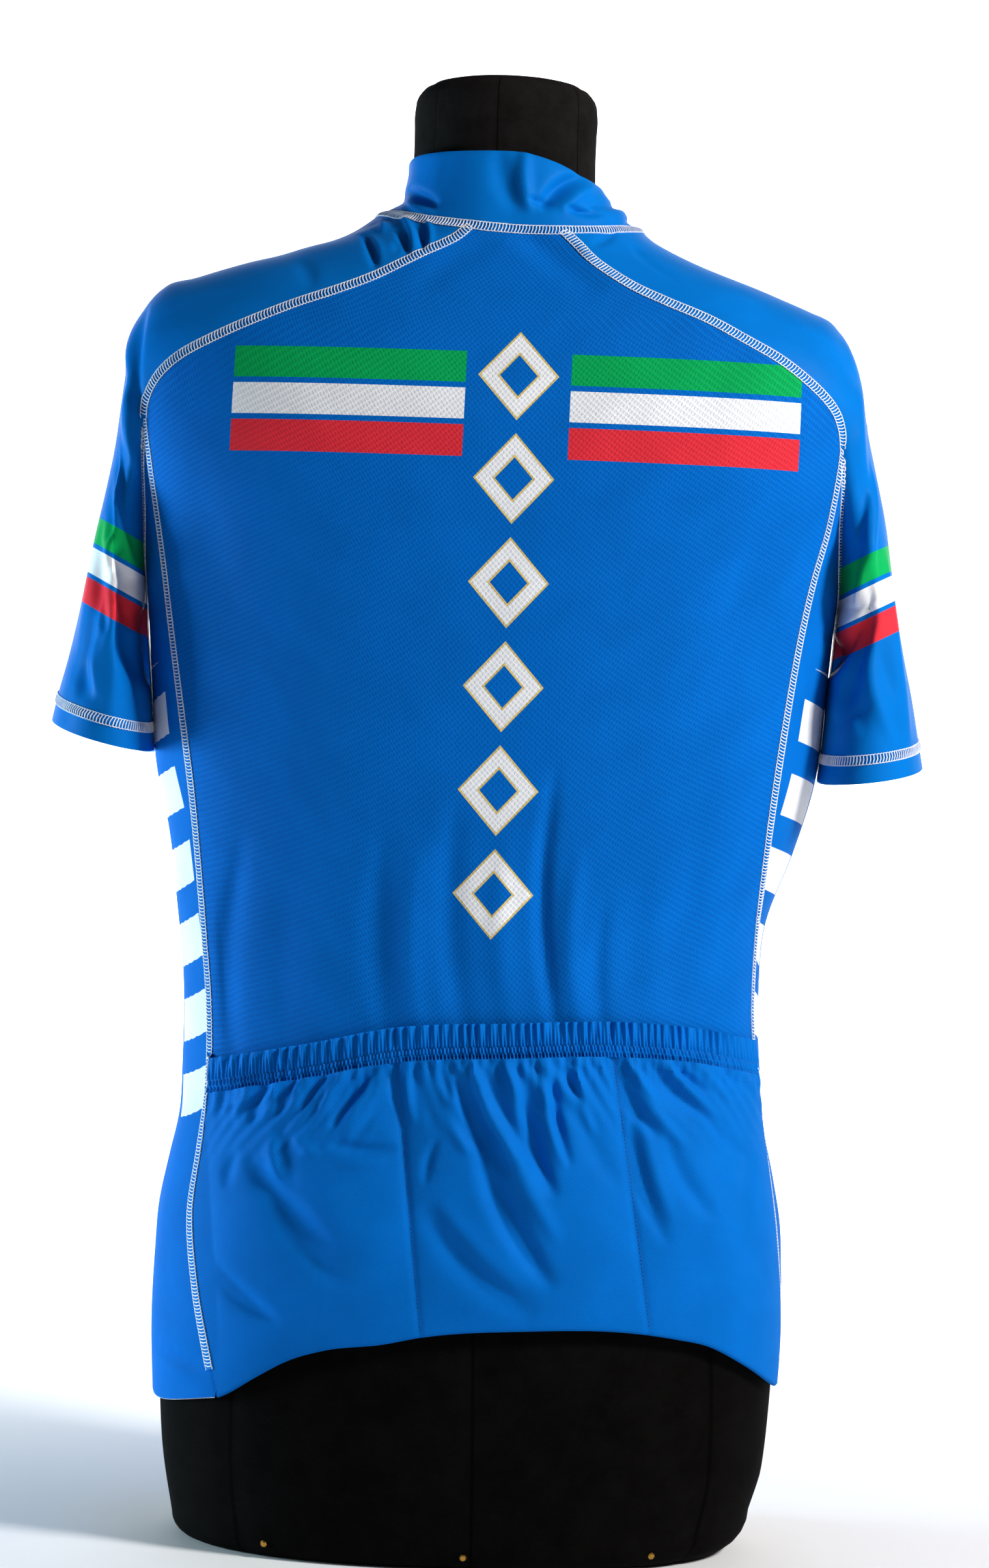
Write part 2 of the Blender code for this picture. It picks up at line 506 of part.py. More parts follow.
def side_grid(side):
    back, front = seam(side, BACK)[RAGLAN_ROWS - 1:], seam(side, FRONT)[RAGLAN_ROWS - 1:]
    top = armhole(side)
    share = np.linspace(0.0, 1.0, len(top))
    hem_z = back[-1, 2] + (front[-1, 2] - back[-1, 2]) * share
    hem_z = hem_z - HEM_DIP[side] * np.sin(math.pi * share)
    drop = (back[:, 2] - back[-1, 2]) / (back[0, 2] - back[-1, 2])
    drop_front = (front[:, 2] - front[-1, 2]) / (front[0, 2] - front[-1, 2])
    drops = drop[:, None] + (drop_front - drop)[:, None] * share
    z = hem_z + (top[:, 2] - hem_z) * drops
    y = back[:, None, 1] + (front[:, None, 1] - back[:, None, 1]) * share
    points = np.stack([x_on(JERSEY, y, z, side), y, z], axis=-1)
    points[0], points[:, 0], points[:, -1] = top, back, front
    return points


def front_grid(side, columns=9):
    edge = seam(side, FRONT)
    share = np.linspace(0.0, 1.0, columns) ** 0.9
    down = (edge[0, 2] - edge[:, 2]) / (edge[0, 2] - edge[-1, 2])
    neck_z = neckline(0.0)[2]
    zip_z = neck_z + (HEM_AT_ZIP - neck_z) * down
    z = zip_z[:, None] + (edge[:, None, 2] - zip_z[:, None]) * share ** 1.5
    inner_x = zip_x(z) + side * ZIP_GAP / 2
    x = inner_x + (edge[:, None, 0] - inner_x) * share
    points = on_section(JERSEY, x, z, FRONT)
    ends = (0.0, neck_share(LEFT, FRONT)) if side > 0 else (1.0, neck_share(RIGHT, FRONT))
    points[0] = neckline(ends[0] + (ends[1] - ends[0]) * share)
    points[:, -1] = edge
    return points


def sleeve_grid(side, half_columns=8):
    names = SLEEVE_COLUMNS
    own = "left" if side > 0 else "right"
    ridge = np.stack([side * column(SLEEVE_ROWS, names, "x_" + own),
                      np.full(len(SLEEVE_ROWS), -0.004),
                      column(SLEEVE_ROWS, names, "z_" + own)], axis=-1)
    ridge[0] = neckline(0.25 if side > 0 else 0.75)
    down = np.clip((0.60 - ridge[:, 2]) / 0.09, 0.0, 1.0)
    ridge[:, 2] += CUFF_HEIGHT[side] * down
    over = column(SLEEVE_ROWS, names, "over")
    hole = armhole(side)
    inner = np.stack([side * column(INNER_ARM, INNER_ARM_COLUMNS, "x"),
                      np.zeros(len(INNER_ARM)),
                      column(INNER_ARM, INNER_ARM_COLUMNS, "z")], axis=-1)
    inner[:, 2] += 0.4 * CUFF_HEIGHT[side] * np.linspace(0.25, 1.0, len(INNER_ARM))
    halves = []
    for facing in (BACK, FRONT):
        raglan = seam(side, facing)[:RAGLAN_ROWS]
        way = hole if facing > 0 else hole[::-1]
        under = way[1:ARMHOLE_STEPS + 1] + np.array([side * (SEAM_GAP + LAYER_GAP), 0.0, 0.0])
        start = np.concatenate([raglan, under, inner])
        leave = np.stack([side * column(SLEEVE_ROWS, names, "out"),
                          facing * column(SLEEVE_ROWS, names, "away"),
                          column(SLEEVE_ROWS, names, "up")], axis=-1)
        arrive = np.stack([np.zeros_like(over), facing * over,
                           np.minimum(column(SLEEVE_ROWS, names, "up"), 0.0)], axis=-1)
        t = np.linspace(0.0, 1.0, half_columns + 1)[None, :, None]
        knots = [start, start + leave, ridge + arrive, ridge]
        weights = [(1 - t) ** 3, 3 * t * (1 - t) ** 2, 3 * t * t * (1 - t), t ** 3]
        half = sum(weight * knot[:, None] for weight, knot in zip(weights, knots))
        shares = np.linspace(neck_share(side, facing), 0.25 if side > 0 else 0.75, half_columns + 1)
        half[0] = neckline(shares)
        halves.append(half)
    points = np.concatenate([halves[0], halves[1][:, -2::-1]], axis=1)
    around = np.linspace(0.0, 1.0, points.shape[1])[None, :]
    down = np.linspace(0.0, 1.0, points.shape[0])[:, None]
    depth = creases(SLEEVE_CREASES[side], around, down)
    depth[:, [0, -1]] = 0.0
    depth[0] = 0.0
    free = keep_clear(JERSEY, points[RAGLAN_ROWS:], LAYER_GAP)
    points = np.concatenate([points[:RAGLAN_ROWS], free])
    points = move_out(points, -side * depth)
    # The raglan edges and the underarm draw back from their seams.
    sewn = points[:RAGLAN_ROWS + ARMHOLE_STEPS - 1]
    sewn[:] = pull_edges(sewn, ("top", "first", "last"), 1.3 * SEAM_GAP)
    return points


def collar_wall(share, level, way):
    """How far the wall departs outward (0) or up (1) at one level."""
    table = [row[1][level][way] / 1000 for row in COLLAR_WALL]
    return smooth([row[0] for row in COLLAR_WALL], table)(share)


def collar_grid(columns=4 * NECK_STEPS + 1):
    share = np.linspace(0.0, 1.0, columns)[None, :]
    up = np.array(COLLAR_LEVELS)[:, None]
    low, high = neckline(share), collar_top(share)
    points = low + (high - low) * up[..., None]
    stand = np.stack([points[..., 0], points[..., 1], np.zeros(points.shape[:2])], axis=-1)
    stand /= np.linalg.norm(stand, axis=-1, keepdims=True)
    levels = range(len(COLLAR_LEVELS))
    bulge = np.concatenate([collar_wall(share, level, 0) for level in levels])
    lift = np.concatenate([collar_wall(share, level, 1) for level in levels])
    points = points + stand * (bulge - creases(COLLAR_CREASES, share, up))[..., None]
    return points + lift[..., None] * np.array([0.0, 0.0, 1.0])


def pocket_fullness(x, z):
    """How far the pocket stands off the back between its stitching lines."""
    lines = np.array([0.172, 0.0515, -0.0800, -0.186])
    drift = np.interp(z, [0.145, 0.325], [-0.020, 0.0])
    place = x - drift
    span = np.clip(np.searchsorted(-lines, -place) - 1, 0, 2)
    share = np.clip((lines[span] - place) / (lines[span] - lines[span + 1]), 0.0, 1.0)
    height = np.clip((pocket_top(x) - z) / (pocket_top(x) - back_hem(x)), 0.0, 1.0)
    return 0.0050 * np.sin(math.pi * share) ** 0.7 * np.sin(math.pi * height ** 0.7) ** 0.8


def spot_on_back(back, share, z):
    """The point of the back panel at a share of its width and at a height."""
    place = np.interp(share, (spread(back.shape[1]) + 1) / 2, np.arange(back.shape[1]))
    first = min(int(place), back.shape[1] - 2)
    line = back[:, first] + (back[:, first + 1] - back[:, first]) * (place - first)
    return np.array([np.interp(z, line[::-1, 2], line[::-1, axis]) for axis in range(3)])


def pocket_layer(back, shares, levels, amounts_at):
    """Rows of a layer on the back panel.  A level is 0 on the pocket's upper edge and 1 on
    the back's hem, or a length below the upper edge if it is negative."""
    points = np.empty((len(levels), len(shares), 3))
    for i, level in enumerate(levels):
        for j, share in enumerate(shares):
            x = spot_on_back(back, share, 0.25)[0]
            for _ in range(3):
                top = float(pocket_top(x))
                z = top + level if level < 0 else top + (float(back_hem(x)) - top) * level
                x = spot_on_back(back, share, z)[0]
            points[i, j] = spot_on_back(back, share, z)
    away, _ = outward(JERSEY, points)
    amounts = amounts_at(points[..., 0], points[..., 2])
    return points + away * (CLOTH + POCKET_GAP + amounts)[..., None]


def pocket_grid(back, columns=45, rows=11):
    share = 0.008 + 0.984 * (spread(columns, 1.0) + 1) / 2
    fade = np.sin(math.pi * share) ** 0.3

    def amounts(x, z):
        pressed = creases(POCKET_CREASES, x, z)
        full = np.clip(pocket_fullness(x, z) * 1.3 - pressed * 1.4, 0.0, None) * fade
        return full + 0.0007 * np.clip((0.20 - z) / 0.05, 0.0, 1.0)

    levels = [-(POCKET_HEADING + POCKET_ELASTIC + SEAM_GAP * 1.5)]
    levels += list(0.125 + 0.875 * (np.arange(1, rows) / (rows - 1)) ** 1.15)
    points = pocket_layer(back, share, levels, amounts)
    # The lower edge rolls in under the back panel.
    away, _ = outward(JERSEY, points[-1:])
    roll = points[-1:] - 0.0030 * away - np.array([0.0, 0.0, 0.0024])
    return np.concatenate([points, roll])


def band_grid(back):
    columns = 2 * GATHERS + 1
    number = np.arange(columns)
    share = 0.008 + 0.984 * number / (columns - 1)
    turn = np.where(number % 2 == 0, 1.0, -1.0)
    wander = 0.35 * np.sin(number * 2.4) * (number % 2)
    deep = np.array([0.0011, 0.0014, 0.0004, 0.0005])[:, None]
    gape = 0.0016 * np.sin(math.pi * share) ** 0.5 * np.array([1.0, 0.7, 0.3, 0.0])[:, None]
    levels = (-1e-6, -0.55 * POCKET_HEADING, -POCKET_HEADING, -POCKET_HEADING - POCKET_ELASTIC)
    return pocket_layer(back, share, levels,
                        lambda x, z: 0.0016 + deep * (turn + wander) + gape)


# Meshes and objects.

def finish(name):
    material = bpy.data.materials.get(name)
    if material is None:
        colour, roughness, metallic = FINISHES[name]
        material = bpy.data.materials.new(name)
        material.use_nodes = True
        shader = material.node_tree.nodes["Principled BSDF"]
        shader.inputs["Base Color"].default_value = colour
        shader.inputs["Roughness"].default_value = roughness
        shader.inputs["Metallic"].default_value = metallic
        material.diffuse_color = colour
    return material


def add_object(name, bm, finish_name, parts):
    mesh = bpy.data.meshes.new(name)
    bm.to_mesh(mesh)
    bm.free()
    mesh.shade_smooth()
    mesh.set_sharp_from_angle(angle=math.radians(50))
    mesh.materials.append(finish(finish_name))
    piece = bpy.data.objects.new(name, mesh)
    parts.objects.link(piece)
    return piece


def pull_edges(points, edges, pull=SEAM_GAP):
    """Draws the named edges of a grid back from a seam.  The walls turn with the body
    there, so their inner edges lie nearer to each other than the outer ones."""
    points = points.copy()
    pairs = {"top": ((0,), (1,)), "bottom": ((-1,), (-2,)),
             "first": ((slice(None), 0), (slice(None), 1)),
             "last": ((slice(None), -1), (slice(None), -2))}
    for edge in edges:
        at, beside = pairs[edge]
        way = points[beside] - points[at]
        way /= np.linalg.norm(way, axis=-1, keepdims=True)
        points[at] += way * pull
    return points


def add_wall(name, points, finish_name, parts, thickness=CLOTH, flip=False):
    """A cloth wall whose outer face is the grid."""
    bm = bmesh.new()
    grid = [[bm.verts.new(point) for point in row] for row in points]
    for upper, lower in zip(grid, grid[1:]):
        for a, b, c, d in zip(upper, upper[1:], lower[1:], lower):
            bm.faces.new((a, b, c, d) if flip else (d, c, b, a))
    bmesh.ops.remove_doubles(bm, verts=bm.verts, dist=1e-5)
    piece = add_object(name, bm, finish_name, parts)
    wall = piece.modifiers.new("Wall", "SOLIDIFY")
    wall.thickness = thickness
    wall.offset = -1.0
    wall.use_quality_normals = True
    return piece


def add_form(parts, around=30):
    """The tailor's form: sections joined from the base to the neck's domed top."""
    angles = np.linspace(0.0, 2 * math.pi, around, endpoint=False)
    turns = (0.0, 30.0, 60.0, 90.0)
    rows = [(math.radians(turn), BASE_ROUNDING) for turn in turns]
    rows += [(math.pi / 2, z) for z in column(FORM_SECTIONS, SECTION_COLUMNS, "z")[1:]]
    bm = bmesh.new()
    loops = []
    for turn, height in rows:
        loop = []
        for angle in angles:
            # Points evenly turned about the middle, drawn out to the section.
            x, y = math.sin(angle), math.cos(angle)
            radius = BASE_ROUNDING + WORN_ROUNDING * max(0.0, -x) ** 2
            z = radius * (1 - math.cos(turn)) if height == BASE_ROUNDING else height
            half_width, power = float(FORM["half_width"](height)), float(FORM["squareness"](height))
            depth = float(FORM["back" if y > 0 else "front"](height))
            scale = ((abs(x) / half_width) ** power + (abs(y) / depth) ** power) ** (-1 / power)
            scale -= radius * (1 - math.sin(turn))
            loop.append(bm.verts.new((x * scale + float(FORM["shift"](z)), y * scale, z)))
        loops.append(loop)
    for lower, upper in zip(loops, loops[1:]):
        for i in range(around):
            j = (i + 1) % around
            bm.faces.new((lower[j], lower[i], upper[i], upper[j]))
    bm.faces.new(loops[0])
    bm.faces.new(loops[-1][::-1])
    return add_object("dress_form", bm, "form_cloth", parts)


def add_pins(parts, form):
    """Brass pin heads, each on the form's own face."""
    for number, (x, facing) in enumerate(PIN_PLACES, start=1):
        _, spot, away, _ = form.closest_point_on_mesh(on_section(FORM, x, PIN_RISE, facing))
        spot, away = np.array(spot), np.array(away)
        bm = bmesh.new()
        bmesh.ops.create_uvsphere(bm, u_segments=7, v_segments=4, radius=PIN_RADIUS)
        for vert in bm.verts:
            vert.co.z *= 0.5
        piece = add_object("pin_%d" % number, bm, "brass", parts)
        from_z = np.array([0.0, 0.0, 1.0])
        turn = math.acos(float(np.dot(from_z, away)))
        axis = np.cross(from_z, away)
        piece.rotation_mode = "AXIS_ANGLE"
        piece.rotation_axis_angle = (turn, *axis)
        piece.location = spot + away * (PIN_RADIUS * 0.5 + SEAM_GAP)


def zip_line_points(z, lift=0.0):
    """Points of the zip's middle line down the front, lifted off the fronts' outer face."""
    points = on_section(JERSEY, zip_x(z), z, FRONT)
    away, _ = outward(JERSEY, points)
    return points + away * lift, away


def add_zip_tape(parts, front):
    """The closed zip behind the fronts' edges: two tapes with the raised chain between."""
    inset = CLOTH + LAYER_GAP
    heights = front[:, 0, 2].copy()
    heights[0] -= 0.004
    heights[-1] += 0.001
    across = np.array([-0.0120, -0.0030, -0.0024, 0.0024, 0.0030, 0.0120])
    rise = np.array([0.0, 0.0, 0.0014, 0.0014, 0.0, 0.0])
    x = zip_x(heights)[:, None] + across
    z = heights[:, None] * np.ones_like(x)
    points = on_section(JERSEY, x, z, FRONT)
    away, _ = outward(JERSEY, points)
    points = points + away * (rise - inset)[None, :, None]
    add_wall("zip_tape", points, "zip_tape", parts, thickness=0.0008)
    # The same zip goes on up the collar's front edges.
    steps = np.linspace(0.985, 0.06, 6)[:, None]
    low = np.array([0.0, NECKLINE[0][1], NECKLINE[0][2]])
    high = np.array([0.0, COLLAR_TOP[0][1], COLLAR_TOP[0][2]])
    middle = low + (high - low) * steps
    stand = np.cross(np.array([1.0, 0.0, 0.0]), (high - low) / np.linalg.norm(high - low))
    across = np.array([-0.0100, -0.0028, -0.0022, 0.0022, 0.0028, 0.0100])
    sweep = np.array([0.0010, 0.0, 0.0, 0.0, 0.0, 0.0010])
    points = np.stack([middle + np.array([offset, bend, 0.0]) - stand * (COLLAR_CLOTH + SEAM_GAP - lift)
                       for offset, lift, bend in zip(across, rise, sweep)], axis=1)
    add_wall("zip_tape_collar", points, "zip_tape", parts, thickness=0.0008)


def joined(target, extra):
    """Fuses a second solid into the first and removes it."""
    union = target.modifiers.new("Fused", "BOOLEAN")
    union.operation = "UNION"
    union.solver = "EXACT"
    union.object = extra
    extra.hide_render = True
    extra.display_type = "WIRE"


def collar_front():
    """The line of the zip up the collar's front: a point at the hinge and its up direction."""
    low, high = np.array(NECKLINE[0]), np.array(COLLAR_TOP[0])
    up = (high - low) * np.array([0.0, 1.0, 1.0])
    up /= np.linalg.norm(up)
    share = (SLIDER_Z - low[2]) / (high[2] - low[2])
    spot = low + (high - low) * share
    spot[0] = 0.0
    return spot, up


def add_slider(parts, cutters):
    """The slider's front plate with its bridge, and the pull tab hanging from it."""
    spot, up = collar_front()
    tilt = math.atan2(-up[1], up[2])
    frame = bpy.data.objects.new("slider_frame", None)
    frame.location = spot + np.array([0.0, -0.0004, 0.0])
    frame.rotation_euler = (tilt, 0.0, 0.0)
    cutters.objects.link(frame)

    bm = bmesh.new()
    bmesh.ops.create_cube(bm, size=1.0)
    for vert in bm.verts:
        narrow = 0.72 if vert.co.z < 0 else 1.0
        vert.co.x *= SLIDER["width"] * narrow
        vert.co.y *= SLIDER["thickness"]
        vert.co.z *= SLIDER["height"]
    bmesh.ops.bevel(bm, geom=list(bm.edges), offset=0.0006, segments=1, affect="EDGES")
    body = add_object("zip_slider", bm, "slider_metal", parts)
    body.parent = frame
    body.location = (0.0, -SLIDER["thickness"] / 2, 0.0)

    # The bridge is a loop about the hinge, its feet sunk in the plate.
    hinge_y = -SLIDER["thickness"] - PULL["thickness"] / 2 - SEAM_GAP
    loop = bpy.data.curves.new("bridge", "CURVE")
    loop.dimensions = "3D"
    loop.bevel_depth = BRIDGE["wire"]
    loop.bevel_resolution = 1
    loop.use_fill_caps = True
    spline = loop.splines.new("POLY")
    angles = np.radians(np.linspace(-32.0, 212.0, 11))
    spline.points.add(len(angles) - 1)
    for point, angle in zip(spline.points, angles):
        point.co = (0.0, hinge_y - BRIDGE["radius"] * math.sin(angle),
                    BRIDGE["radius"] * math.cos(angle), 1.0)
    curve = bpy.data.objects.new("bridge_curve", loop)
    cutters.objects.link(curve)
    curve.parent = frame
    bpy.context.view_layer.update()
    depsgraph = bpy.context.evaluated_depsgraph_get()
    mesh = bpy.data.meshes.new_from_object(curve.evaluated_get(depsgraph))
    bridge = bpy.data.objects.new("bridge", mesh)
    cutters.objects.link(bridge)
    bridge.matrix_world = curve.matrix_world
    bpy.data.objects.remove(curve)
    bm = bmesh.new()
    bm.from_mesh(mesh)
    bmesh.ops.remove_doubles(bm, verts=bm.verts, dist=1e-6)
    bmesh.ops.recalc_face_normals(bm, faces=bm.faces)
    bm.to_mesh(mesh)
    bm.free()
    joined(body, bridge)

    # The tab is a rounded plate with an eye.  Its origin is on the hinge.
    eye_low = BRIDGE["radius"] + BRIDGE["wire"] + 0.0006
    bar = PULL["thickness"] / 2
    half = PULL["width"] / 2
    outline = [(half * 0.72, bar), (half, -0.0012), (half * 0.88, -PULL["length"] + half * 0.9)]
    outline += [(half * 0.88 * math.cos(a), -PULL["length"] + half * 0.9 - half * 0.9 * math.sin(a))
                for a in np.radians((30.0, 60.0, 90.0))]
    right_side = [(-x, z) for x, z in outline[-2::-1]]
    outline = outline + right_side
    eye_half = PULL["eye"] / 2
    hole = [(eye_half, -bar - 0.0001), (-eye_half, -bar - 0.0001),
            (-eye_half, -eye_low), (eye_half, -eye_low)]
    shape = bpy.data.curves.new("zip_pull_tab", "CURVE")
    shape.dimensions = "2D"
    shape.fill_mode = "BOTH"
    shape.extrude = PULL["thickness"] / 2
    for ring in (outline, hole):
        spline = shape.splines.new("POLY")
        spline.points.add(len(ring) - 1)
        spline.use_cyclic_u = True
        for point, (x, z) in zip(spline.points, ring):
            point.co = (x, z, 0.0, 1.0)
    flat = bpy.data.objects.new("tab_curve", shape)
    cutters.objects.link(flat)
    bpy.context.view_layer.update()
    depsgraph = bpy.context.evaluated_depsgraph_get()
    mesh = bpy.data.meshes.new_from_object(flat.evaluated_get(depsgraph))
    bpy.data.objects.remove(flat)
    bm = bmesh.new()
    bm.from_mesh(mesh)
    bmesh.ops.remove_doubles(bm, verts=bm.verts, dist=1e-6)
    bmesh.ops.recalc_face_normals(bm, faces=bm.faces)
    # The outline was drawn in X and Y: stand it up in X and Z.
    for vert in bm.verts:
        vert.co.y, vert.co.z = -vert.co.z, vert.co.y
    bm.normal_update()
    tab = add_object("zip_pull_tab", bm, "slider_metal", parts)
    tab.parent = frame
    tab.location = (0.0, hinge_y, 0.0)
    return frame


def main():
    for item in list(bpy.data.objects):
        bpy.data.objects.remove(item)
    parts = bpy.data.collections.new("cycling_jersey_on_form")
    cutters = bpy.data.collections.new("cutters")
    bpy.context.scene.collection.children.link(parts)
    bpy.context.scene.collection.children.link(cutters)

    room = CLOTH + FORM_GAP
    add_pins(parts, add_form(parts))

    back = keep_clear(FORM, back_grid(), room)
    add_wall("back_panel", pull_edges(back, ("top", "first", "last")), "mesh_knit", parts,
             flip=True)
    add_wall("back_pocket", pocket_grid(back), "mesh_knit", parts, flip=True)
    add_wall("pocket_elastic_band", band_grid(back), "mesh_knit", parts, flip=True)
    for side, word in ((LEFT, "left"), (RIGHT, "right")):
        flank = keep_clear(FORM, side_grid(side), room)
        add_wall("side_panel_" + word, pull_edges(flank, ("top", "first", "last"), 1.8 * SEAM_GAP),
                 "mesh_knit", parts, flip=side > 0)
        chest = keep_clear(FORM, front_grid(side), room)
        add_wall("front_panel_" + word, pull_edges(chest, ("top", "last"), 2 * SEAM_GAP),
                 "stretch_knit", parts, flip=side < 0)
        sleeve = keep_clear(FORM, sleeve_grid(side), room)
        add_wall("sleeve_" + word, sleeve, "stretch_knit", parts, flip=side > 0)
    collar = keep_clear(FORM, collar_grid(), COLLAR_CLOTH + FORM_GAP)
    add_wall("collar", pull_edges(collar, ("bottom",), 2 * SEAM_GAP), "stretch_knit", parts,
             thickness=COLLAR_CLOTH)
    add_zip_tape(parts, front_grid(LEFT))
    add_slider(parts, cutters)


main()
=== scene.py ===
import math

import bpy
import numpy as np
from mathutils import Matrix, Vector
from mathutils.bvhtree import BVHTree


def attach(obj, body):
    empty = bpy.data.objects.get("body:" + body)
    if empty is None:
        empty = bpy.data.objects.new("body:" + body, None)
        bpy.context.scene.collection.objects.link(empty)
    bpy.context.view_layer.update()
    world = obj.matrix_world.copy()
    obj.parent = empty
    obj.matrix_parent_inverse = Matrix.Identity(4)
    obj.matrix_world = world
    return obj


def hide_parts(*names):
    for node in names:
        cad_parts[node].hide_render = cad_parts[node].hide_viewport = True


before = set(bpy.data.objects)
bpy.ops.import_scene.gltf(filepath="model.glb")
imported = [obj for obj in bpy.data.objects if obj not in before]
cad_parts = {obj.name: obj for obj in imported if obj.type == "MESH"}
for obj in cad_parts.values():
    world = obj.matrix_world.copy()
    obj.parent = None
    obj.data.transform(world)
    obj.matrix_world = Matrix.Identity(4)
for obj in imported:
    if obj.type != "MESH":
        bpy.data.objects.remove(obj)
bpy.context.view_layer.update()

# Studio.  The form stands on a pale sweep of paper that curls up into the backdrop.  A small
# soft box high on the wearer's right rakes across the folds, a low cool one on the left, in
# front, edges that side, and a wide one overhead lights the paper alone.
CAMERA_PLACE = (-0.0059, 2.3200, 0.4860)
CAMERA_LENS_MM = 82.2
CAMERA_ROLL = math.radians(2.0)

camera_data = bpy.data.cameras.new("camera")
camera_data.lens = CAMERA_LENS_MM
camera_data.sensor_width = 36.0
camera = bpy.data.objects.new("camera", camera_data)
bpy.context.scene.collection.objects.link(camera)
view_way = Vector((0.0, -1.0, 0.0))
view_up = Vector((0.0, 0.0, 1.0))
upright = Matrix((view_way.cross(view_up), view_up, -view_way)).transposed()
camera.location = CAMERA_PLACE
camera.rotation_euler = (Matrix.Rotation(CAMERA_ROLL, 3, "Y") @ upright).to_euler()
bpy.context.scene.camera = camera
bpy.context.scene.view_settings.view_transform = "Standard"


def linear(hex_colour):
    """An sRGB hex colour as linear light, with full alpha."""
    values = [int(hex_colour[i:i + 2], 16) / 255 for i in (1, 3, 5)]
    values = [v / 12.92 if v <= 0.04045 else ((v + 0.055) / 1.055) ** 2.4 for v in values]
    return (*values, 1.0)


def add_node(tree, kind, settings=(), sockets=()):
    """Adds a node, sets its properties, and fills or links its input sockets."""
    made = tree.nodes.new(kind)
    for name, value in dict(settings).items():
        setattr(made, name, value)
    for name, value in dict(sockets).items():
        if isinstance(value, bpy.types.NodeSocket):
            tree.links.new(value, made.inputs[name])
        else:
            made.inputs[name].default_value = value
    return made


def math_node(tree, operation, *values):
    """A sum of any kind, and its result."""
    made = add_node(tree, "ShaderNodeMath", {"operation": operation}, dict(enumerate(values)))
    return made.outputs[0]


def new_material(name, **shader_values):
    """A material, its node tree and its Principled shader with the given values."""
    material = bpy.data.materials.new(name)
    material.use_nodes = True
    shader = material.node_tree.nodes["Principled BSDF"]
    for key, value in shader_values.items():
        shader.inputs[key.replace("_", " ").title().replace("Ior", "IOR")].default_value = value
    return material, material.node_tree, shader


def add_piece(name, verts, faces, material, uvs=None):
    """A smooth-shaded mesh object.  uvs has one pair for each corner of each face."""
    mesh = bpy.data.meshes.new(name)
    mesh.from_pydata([tuple(v) for v in verts], [], [tuple(f) for f in faces])
    if uvs is not None:
        layer = mesh.uv_layers.new(name="cloth")
        layer.data.foreach_set("uv", np.asarray(uvs, dtype=np.float32).ravel())
    mesh.shade_smooth()
    mesh.set_sharp_from_angle(angle=math.radians(55))
    mesh.materials.append(material)
    piece = bpy.data.objects.new(name, mesh)
    bpy.context.scene.collection.objects.link(piece)
    return piece


# Matt white paper takes soft shadows and throws light back up under the hem.
paper, _, _ = new_material("seamless_paper", base_color=linear("#F4F4F7"), roughness=0.95)
SWEEP_BACK, SWEEP_CURVE = -4.1, 0.7      # where the paper starts to curl up, and its radius
SWEEP_HALF_WIDTH = 6.0
sweep_rows = [(3.6, 0.0), (0.5, 0.0), (SWEEP_BACK, 0.0)]
sweep_rows += [(SWEEP_BACK - SWEEP_CURVE * math.sin(a), SWEEP_CURVE - SWEEP_CURVE * math.cos(a))
               for a in np.radians(np.arange(10, 91, 10))]
sweep_rows += [(SWEEP_BACK - SWEEP_CURVE, 2.2), (SWEEP_BACK - SWEEP_CURVE, 4.5)]
sweep_verts = [(x, y, z) for y, z in sweep_rows for x in (-SWEEP_HALF_WIDTH, SWEEP_HALF_WIDTH)]
sweep_faces = [(2 * i, 2 * i + 1, 2 * i + 3, 2 * i + 2) for i in range(len(sweep_rows) - 1)]
sweep = add_piece("paper_sweep", sweep_verts, sweep_faces, paper)


def add_softbox(name, place, aim, size, power, hex_colour, spread_deg=180.0):
    """A rectangular area light that faces its aim.  A small spread narrows its beam."""
    light = bpy.data.lights.new(name, "AREA")
    light.spread = math.radians(spread_deg)
    light.shape = "RECTANGLE"
    light.size, light.size_y = size
    light.energy = power
    light.color = linear(hex_colour)[:3]
    lamp = bpy.data.objects.new(name, light)
    lamp.location = place
    way = Vector(aim) - Vector(place)
    lamp.rotation_euler = way.to_track_quat("-Z", "Y").to_euler()
    bpy.context.scene.collection.objects.link(lamp)


add_softbox("key_softbox", (-1.72, 1.02, 1.60), (0.0, 0.0, 0.50), (0.4, 0.5), 63.0, "#FFFCF6")
add_softbox("rim_softbox", (2.0, -0.25, 0.25), (0.1, 0.0, 0.35), (0.6, 0.8), 56.0, "#D2F6FF")
add_softbox("paper_softbox", (0.0, -2.0, 3.6), (0.0, -3.8, 0.5), (3.6, 0.8), 290.0, "#FFFFFF",
            spread_deg=118.0)
# A little even light fills the deepest shadows.
world = bpy.data.worlds.new("studio_air")
world.use_nodes = True
world.node_tree.nodes["Background"].inputs["Color"].default_value = linear("#E9EDF4")
world.node_tree.nodes["Background"].inputs["Strength"].default_value = 0.11
bpy.context.scene.world = world


